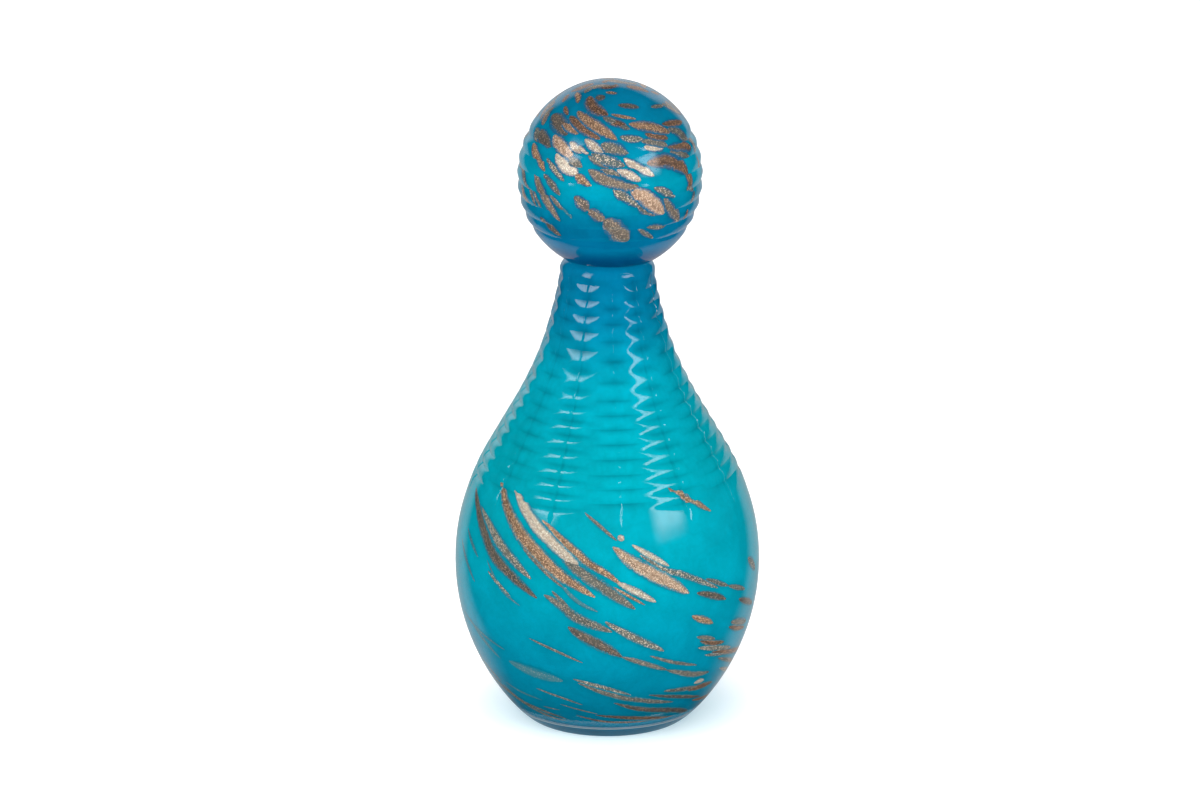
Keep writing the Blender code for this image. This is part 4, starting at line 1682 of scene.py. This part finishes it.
@dataclass
class CasedBottle:
    """The bottle: turquoise core and clear cut casing.

    Attributes:
        rows_in_cut: Rows of the mesh between two ridges.
        rows_below: Rows up to the spines.
        rows_in_tail: Rows along the end of a spine.
        rows_in_lip: Rows round the lip.
        rows_in_rim: Rows over the core's part of it.
        foot_share: Place of the one row under the foot, as a share of its radius.
        inside_rows: Rows of the casing's inside.
        core_rows: Rows of the core's outside below the spines.
        hollow_rows: Rows of its hollow.
        corner_rows: Rows round a bottom edge.
        core_steps: Steps of the core round its axis.
        lip_spread: Power by which those rows lie closer at the outside.
        coarse: (angle, steps) of the turn beside a column's middle.
        fine: The same at its middle.
        casing_overlap: Gap between the casing and what it holds.
        streak_gap: How far the core stands out between the streaks' seam and the casing.
        neck_seam: Gap between the casing and the core where no streaks lie.
        fill_top: Shares of the height between which the seam closes.
        wall_shares: Shares of the height between which the core's wall is drawn.
        ease: Width of the eased edge of the mouth.
    """

    shape: BottleShape
    body: str = "bottle"
    rows_in_cut: int = 10
    rows_below: int = 34
    rows_in_tail: int = 6
    rows_in_lip: int = 10
    rows_in_rim: int = 5
    foot_share: float = 0.6
    inside_rows: int = 40
    core_rows: int = 60
    hollow_rows: int = 24
    corner_rows: int = 6
    core_steps: int = 360
    lip_spread: float = 1.2
    coarse: tuple[float, int] = (math.radians(13.5), 12)
    fine: tuple[float, int] = (math.radians(3), 6)
    casing_overlap: float = 0.05 * MM
    streak_gap: float = 0.15 * MM
    neck_seam: float = 0.3 * MM
    fill_top: tuple[float, float] = (0.60, 0.68)
    wall_shares: tuple[float, float] = (0.005, 0.93)
    ease: float = 0.4 * MM

    @property
    def mouth(self) -> float:
        """Radius at which the casing's lip ends and the core's begins."""
        return self.shape.lip_radius - self.shape.casing_wall - self.neck_seam

    def skin_depth(self, height: float) -> float:
        """Depth of the core's skin: under the streaks' seam below, close to the casing above."""
        start, end = (self.shape.height * share for share in self.fill_top)
        t = min(max((height - start) / (end - start), 0.0), 1.0)
        blend = t * t * (3 - 2 * t)
        low = self.shape.casing_wall + self.shape.streak_seam - self.streak_gap
        high = self.shape.casing_wall + self.neck_seam - self.casing_overlap
        return low + (high - low) * blend

    def levels(self) -> list[float]:
        """Heights of the casing's outside rows, with every ridge on a row."""
        shape = self.shape
        below = [
            shape.spine_bottom * (1 - math.cos(math.pi / 2 * index / self.rows_below))
            for index in range(self.rows_below)]
        tail = [
            shape.spine_bottom + shape.spine_tail * index / self.rows_in_tail
            for index in range(self.rows_in_tail)]
        rows = []
        for low, high in zip(shape.ridges, shape.ridges[1:]):
            rows += [low + (high - low) * index / self.rows_in_cut for index in range(self.rows_in_cut)]
        return below + tail + rows + [shape.ridges[-1]]

    def skin(self, extra: float, count: int, floor: float) -> Outline:
        """Outline of the core's skin, from the axis along a floor and up to the mouth.

        Args:
            extra: Added to the skin's depth.
            count: Number of stations up the wall.
            floor: Height of the floor.

        Returns:
            The outline.
        """
        shape = self.shape
        points: Outline = []
        start, end = self.wall_shares
        for index in range(count + 1):
            height = shape.height * (start + (end - start) * index / count)
            radius, place = shape.inward(height, self.skin_depth(height) + extra)
            if place > floor + shape.corner:
                points.append((radius, place))
        corner = points[0][0] - shape.corner
        rounded = []
        for index in range(1, self.corner_rows):
            angle = math.pi / 2 * index / self.corner_rows
            rounded.append((
                corner + (points[0][0] - corner) * math.sin(angle),
                floor + (points[0][1] - floor) * (1 - math.cos(angle))))
        return [(0.0, floor), (corner / 2, floor), (corner, floor)] + rounded + points

    def casing(self, material: bpy.types.Material) -> None:
        """Model the clear casing with its foot, lip and cuts."""
        shape = self.shape
        outside = [(shape.outer_radius(height), height) for height in self.levels()]
        edge = shape.outer_radius(shape.height - shape.lip_round)
        lip = []
        for index in range(1, self.rows_in_lip + 1):
            turn = math.sin(math.pi / 2 * index / self.rows_in_lip)
            radius = edge + (self.mouth - edge) * turn ** self.lip_spread
            lip.append((radius, shape.lip_height(radius)))
        inside = self.skin(
            self.casing_overlap, self.inside_rows, shape.foot_thickness + self.casing_overlap)
        foot = [(0.0, 0.0), (shape.foot_radius * self.foot_share, 0.0)]
        outline = foot + outside + lip + inside[::-1]
        turns = (self.coarse, self.fine, self.coarse) * shape.columns
        start = shape.first_column - math.pi / shape.columns
        piece = lathe("clear_casing", outline, turns, start)

        def share(place: Vector) -> float:
            """Share of the cuts' depth at a vertex of the outside."""
            radius = math.hypot(place.x, place.y)
            if place.z < shape.spine_bottom or abs(radius - shape.outer_radius(place.z)) > MERGE * 5:
                return 0.0
            return shape.cut_share(math.atan2(place.x, -place.y), place.z)

        sink(piece, shape.cut_depth, share)
        dress(piece, material, self.body, "bottle_casing")

    def core(self, material: bpy.types.Material) -> None:
        """Model the turquoise vessel, ground inside its mouth."""
        shape = self.shape
        floor = shape.foot_thickness
        outside = [
            point for point in self.skin(0.0, self.core_rows, floor) if point[1] < shape.spine_bottom]
        band = {}
        for height in self.levels():
            radius, place = shape.inward(height, self.skin_depth(height))
            if place > outside[-1][1] + MM and height < shape.height * self.wall_shares[1]:
                band[len(outside)] = height
                outside.append((radius, place))
        flat = shape.bore_radius + shape.lip_flat
        for index in range(self.rows_in_rim + 1):
            radius = self.mouth + MERGE * 2 + (flat - self.mouth) * index / self.rows_in_rim
            outside.append((radius, shape.lip_height(radius)))
        inner: Outline = []
        for radius, place in self.skin(shape.core_wall, self.hollow_rows, floor + shape.core_wall):
            if place < shape.bore_bottom - shape.bore_flare:
                inner.append((radius, place))
        bottom = shape.bore_radius - shape.taper * (shape.height - shape.bore_bottom)
        inner += [
            (bottom, shape.bore_bottom), (shape.bore_radius, shape.height - self.ease),
            (shape.bore_radius + self.ease, shape.height)]
        piece = lathe("turquoise_core", outside + inner[::-1], ((2 * math.pi, self.core_steps),))
        heights = {round(outside[index][1] / MERGE): height for index, height in band.items()}

        def share(place: Vector) -> float:
            """Depth share of the cut in front of a vertex of the outside."""
            height = heights.get(round(place.z / MERGE))
            inner_edge = shape.lip_radius - shape.casing_wall - MM
            if height is None or math.hypot(place.x, place.y) < inner_edge:
                return 0.0
            return shape.cut_share(math.atan2(place.x, -place.y), height)

        # Painted shade of the cuts, stored on the core for its material.
        paint_cut_shade(piece, share)
        dress(piece, material, self.body, "bottle_core")

    def build(self, crystal: bpy.types.Material, opaline: bpy.types.Material) -> None:
        """Build the casing and the core."""
        self.casing(crystal)
        self.core(opaline)


@dataclass
class BallStopper:
    """The stopper: cased ball with cuts, and the ground peg under it.

    Attributes:
        rows_in_cut: Rows of the mesh in one cut.
        turns: Steps of the casing round its axis.
        core_steps: Steps of the core round its axis.
        peg_steps: Steps of the peg.
        inside_rows: Rows of the casing's inside.
        core_rows: Rows of the core.
        peg_rows: Rows of the peg's taper.
        bevel_rows: Rows round its eased end.
        row_step: Angle between its other rows.
        casing_overlap: Gap between the casing and what it holds.
        streak_gap: How far the core stands out between the streaks' seam and the casing.
        peg_clearance: Gap between the peg and the bore.
        peg_bevel: Radius of its eased end.
    """

    shape: BallShape
    bottle: BottleShape
    body: str = "stopper"
    rows_in_cut: int = 8
    turns: int = 180
    core_steps: int = 144
    peg_steps: int = 96
    inside_rows: int = 40
    core_rows: int = 60
    peg_rows: int = 10
    bevel_rows: int = 6
    row_step: float = math.radians(3)
    casing_overlap: float = 0.05 * MM
    streak_gap: float = 0.15 * MM
    peg_length: float = 26.0 * MM
    peg_clearance: float = 0.3 * MM
    peg_bevel: float = 0.8 * MM

    @property
    def inset(self) -> float:
        """Depth of the core's skin under the outside."""
        return self.shape.casing_wall + self.shape.streak_seam - self.streak_gap

    def latitudes(self, lowest: float) -> list[float]:
        """Even latitudes from the lowest up to the pole, with every ridge of the cuts on one."""
        ridges = self.shape.ridges
        rows = []
        for high, low in zip(ridges, ridges[1:]):
            rows += [low + (high - low) * index / self.rows_in_cut for index in range(self.rows_in_cut)]
        count = round((math.pi / 2 - lowest) / self.row_step)
        plain = [lowest + (math.pi / 2 - lowest) * index / count for index in range(count)]
        margin = self.row_step / 3
        plain = [angle for angle in plain if angle < ridges[-1] - margin or angle > ridges[0] + margin]
        return sorted(plain + rows + [ridges[0]])

    def casing(self, material: bpy.types.Material) -> None:
        """Model the ball's clear casing with its columns of cuts and side flats."""
        shape = self.shape
        seat = shape.seat - shape.centre_height
        lowest = shape.shell_latitude(0.0, shape.lip_radius)
        outside = [shape.shell(0.0, angle) for angle in self.latitudes(lowest)]
        inset = self.inset + self.casing_overlap
        hole = shape.stem_radius - self.casing_overlap
        bottom = shape.shell_latitude(inset, hole)
        inside = [
            shape.shell(inset, bottom + (math.pi / 2 - bottom) * index / self.inside_rows)
            for index in range(self.inside_rows)]
        top = shape.half_height
        outline = [(0.0, top - inset)] + inside[::-1] + [(hole, seat)] + outside + [(0.0, top)]
        piece = lathe(
            "ball_casing", outline, ((2 * math.pi, self.turns),), shape.front, shape.centre)

        def share(place: Vector) -> float:
            """Share of the cuts' depth at a vertex of the outside."""
            local = place - shape.centre
            radius = math.hypot(local.x, local.y)
            angle = math.atan2(local.z * shape.radius, radius * shape.half_height)
            if abs(radius - shape.shell(0.0, angle)[0]) > MERGE * 5 or radius < MM:
                return 0.0
            return shape.cut_share(math.atan2(local.x, -local.y), angle)

        sink(piece, shape.cut_depth, share)
        self.flats(piece)
        dress(piece, material, self.body, "stopper_casing")

    def flats(self, piece: bpy.types.Object) -> None:
        """Grind the broad flat low on each side, by a plane cut that is closed again."""
        shape = self.shape
        radius, height = shape.shell(shape.flat_depth, shape.flat_latitude)
        for side in (1, -1):
            towards = Vector((radius * side, 0.0, height))
            take(piece)
            bpy.ops.object.mode_set(mode="EDIT")
            bpy.ops.mesh.select_all(action="SELECT")
            bpy.ops.mesh.bisect(
                plane_co=shape.centre + towards, plane_no=towards.normalized(), use_fill=True,
                clear_outer=True, threshold=MERGE)
            bpy.ops.object.mode_set(mode="OBJECT")

    def core(self, material: bpy.types.Material) -> None:
        """Model the turquoise ball with the short stem under it."""
        shape = self.shape
        inset = self.inset
        bottom = shape.shell_latitude(inset, shape.stem_radius)
        wall = [
            shape.shell(inset, bottom + (math.pi / 2 - bottom) * index / self.core_rows)
            for index in range(self.core_rows)]
        seat = shape.seat - shape.centre_height
        outline = [(0.0, seat), (shape.stem_radius, seat)] + wall + [(0.0, shape.half_height - inset)]
        piece = lathe(
            "ball_core", outline, ((2 * math.pi, self.core_steps),), 0.0, shape.centre)
        dress(piece, material, self.body, "stopper_core")

    def peg(self, material: bpy.types.Material) -> None:
        """Model the tapered peg with its eased end."""
        top = self.bottle.bore_radius - self.peg_clearance
        bottom = top - self.bottle.taper * (self.peg_length - self.peg_bevel)
        ease = self.peg_bevel
        outline = [(0.0, -self.peg_length), ((bottom - ease) / 2, -self.peg_length)]
        for index in range(self.bevel_rows + 1):
            angle = math.pi / 2 * index / self.bevel_rows
            outline.append((
                bottom - ease * (1 - math.sin(angle)),
                ease * (1 - math.cos(angle)) - self.peg_length))
        for index in range(1, self.peg_rows + 1):
            share = index / self.peg_rows
            outline.append((bottom + (top - bottom) * share, (ease - self.peg_length) * (1 - share)))
        outline += [(top / 2, 0.0), (0.0, 0.0)]
        foot = (0.0, 0.0, self.bottle.height)
        piece = lathe("ground_peg", outline, ((2 * math.pi, self.peg_steps),), 0.0, foot)
        dress(piece, material, self.body, "stopper_peg")

    def build(
        self, crystal: bpy.types.Material, opaline: bpy.types.Material, ground: bpy.types.Material,
    ) -> None:
        """Build the ball and the peg."""
        self.casing(crystal)
        self.core(opaline)
        self.peg(ground)


def main() -> None:
    """Build the camera, the studio, the bottle and the stopper."""
    logging.basicConfig(level=logging.INFO, format="%(name)s: %(message)s")
    bpy.context.scene.view_settings.view_transform = "Standard"
    camera = PhotoCamera()
    camera.build()
    Studio().build()

    bottle_shape = BottleShape(height=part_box("bottle_core")[1][2])
    ball_shape = BallShape()
    crystal = ClearCrystal().material()
    copper = {tone: CopperAventurine(tone).material() for tone in Tone}
    # Colours up the bottle's core: partly its own, partly painted light and shade, lighter round the
    # shoulder and deeper at the foot and the neck.
    bottle_opaline = TurquoiseOpaline(
        "turquoise_opaline_bottle", 0.0, bottle_shape.height,
        (
            (0.0, "0086A8"), (0.20, "009EBA"), (0.38, "00B4C8"), (0.60, "00B6C4"),
            (0.76, "00B2C6"), (0.88, "008CB0"), (1.0, "007EA8"),
        )).material()
    # Colours up the ball's core: partly its own, partly painted light and shade; the darkest blues at its
    # foot are painted shade where it sits in the lip.
    ball_opaline = TurquoiseOpaline(
        "turquoise_opaline_ball", ball_shape.seat, ball_shape.centre_height + ball_shape.half_height,
        (
            (0.0, "002C5C"), (0.07, "004A7E"), (0.14, "007CAA"), (0.28, "007EA6"), (0.5, "00AAC4"),
            (0.75, "0090B4"), (1.0, "007EA8"),
        )).material()

    CasedBottle(bottle_shape).build(crystal, bottle_opaline)
    BallStopper(ball_shape, bottle_shape).build(crystal, ball_opaline, GroundGlass().material())

    bottle_depth = bottle_shape.casing_wall + bottle_shape.streak_seam / 2
    ball_depth = ball_shape.casing_wall + ball_shape.streak_seam / 2
    StreakSet(
        "bottle", "copper_streak", "bottle_streak",
        StreakMaker(
            lambda pixel: camera.on_bottle(bottle_shape, pixel, bottle_depth),
            bottle_shape.layer, bottle_depth, camera.pixel),
        BOTTLE_STREAKS, BOTTLE_FINE_STREAKS, (0, 5, 7, 8, 13, 18, 24), copper).build()
    StreakSet(
        "stopper", "ball_streak", "stopper_streak",
        StreakMaker(
            lambda pixel: camera.on_ball(ball_shape, pixel, ball_depth),
            ball_shape.layer, ball_depth, camera.pixel),
        BALL_STREAKS, BALL_FINE_STREAKS, (0, 4, 9, 12), copper).build()

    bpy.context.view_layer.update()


if __name__ == "__main__":
    main()
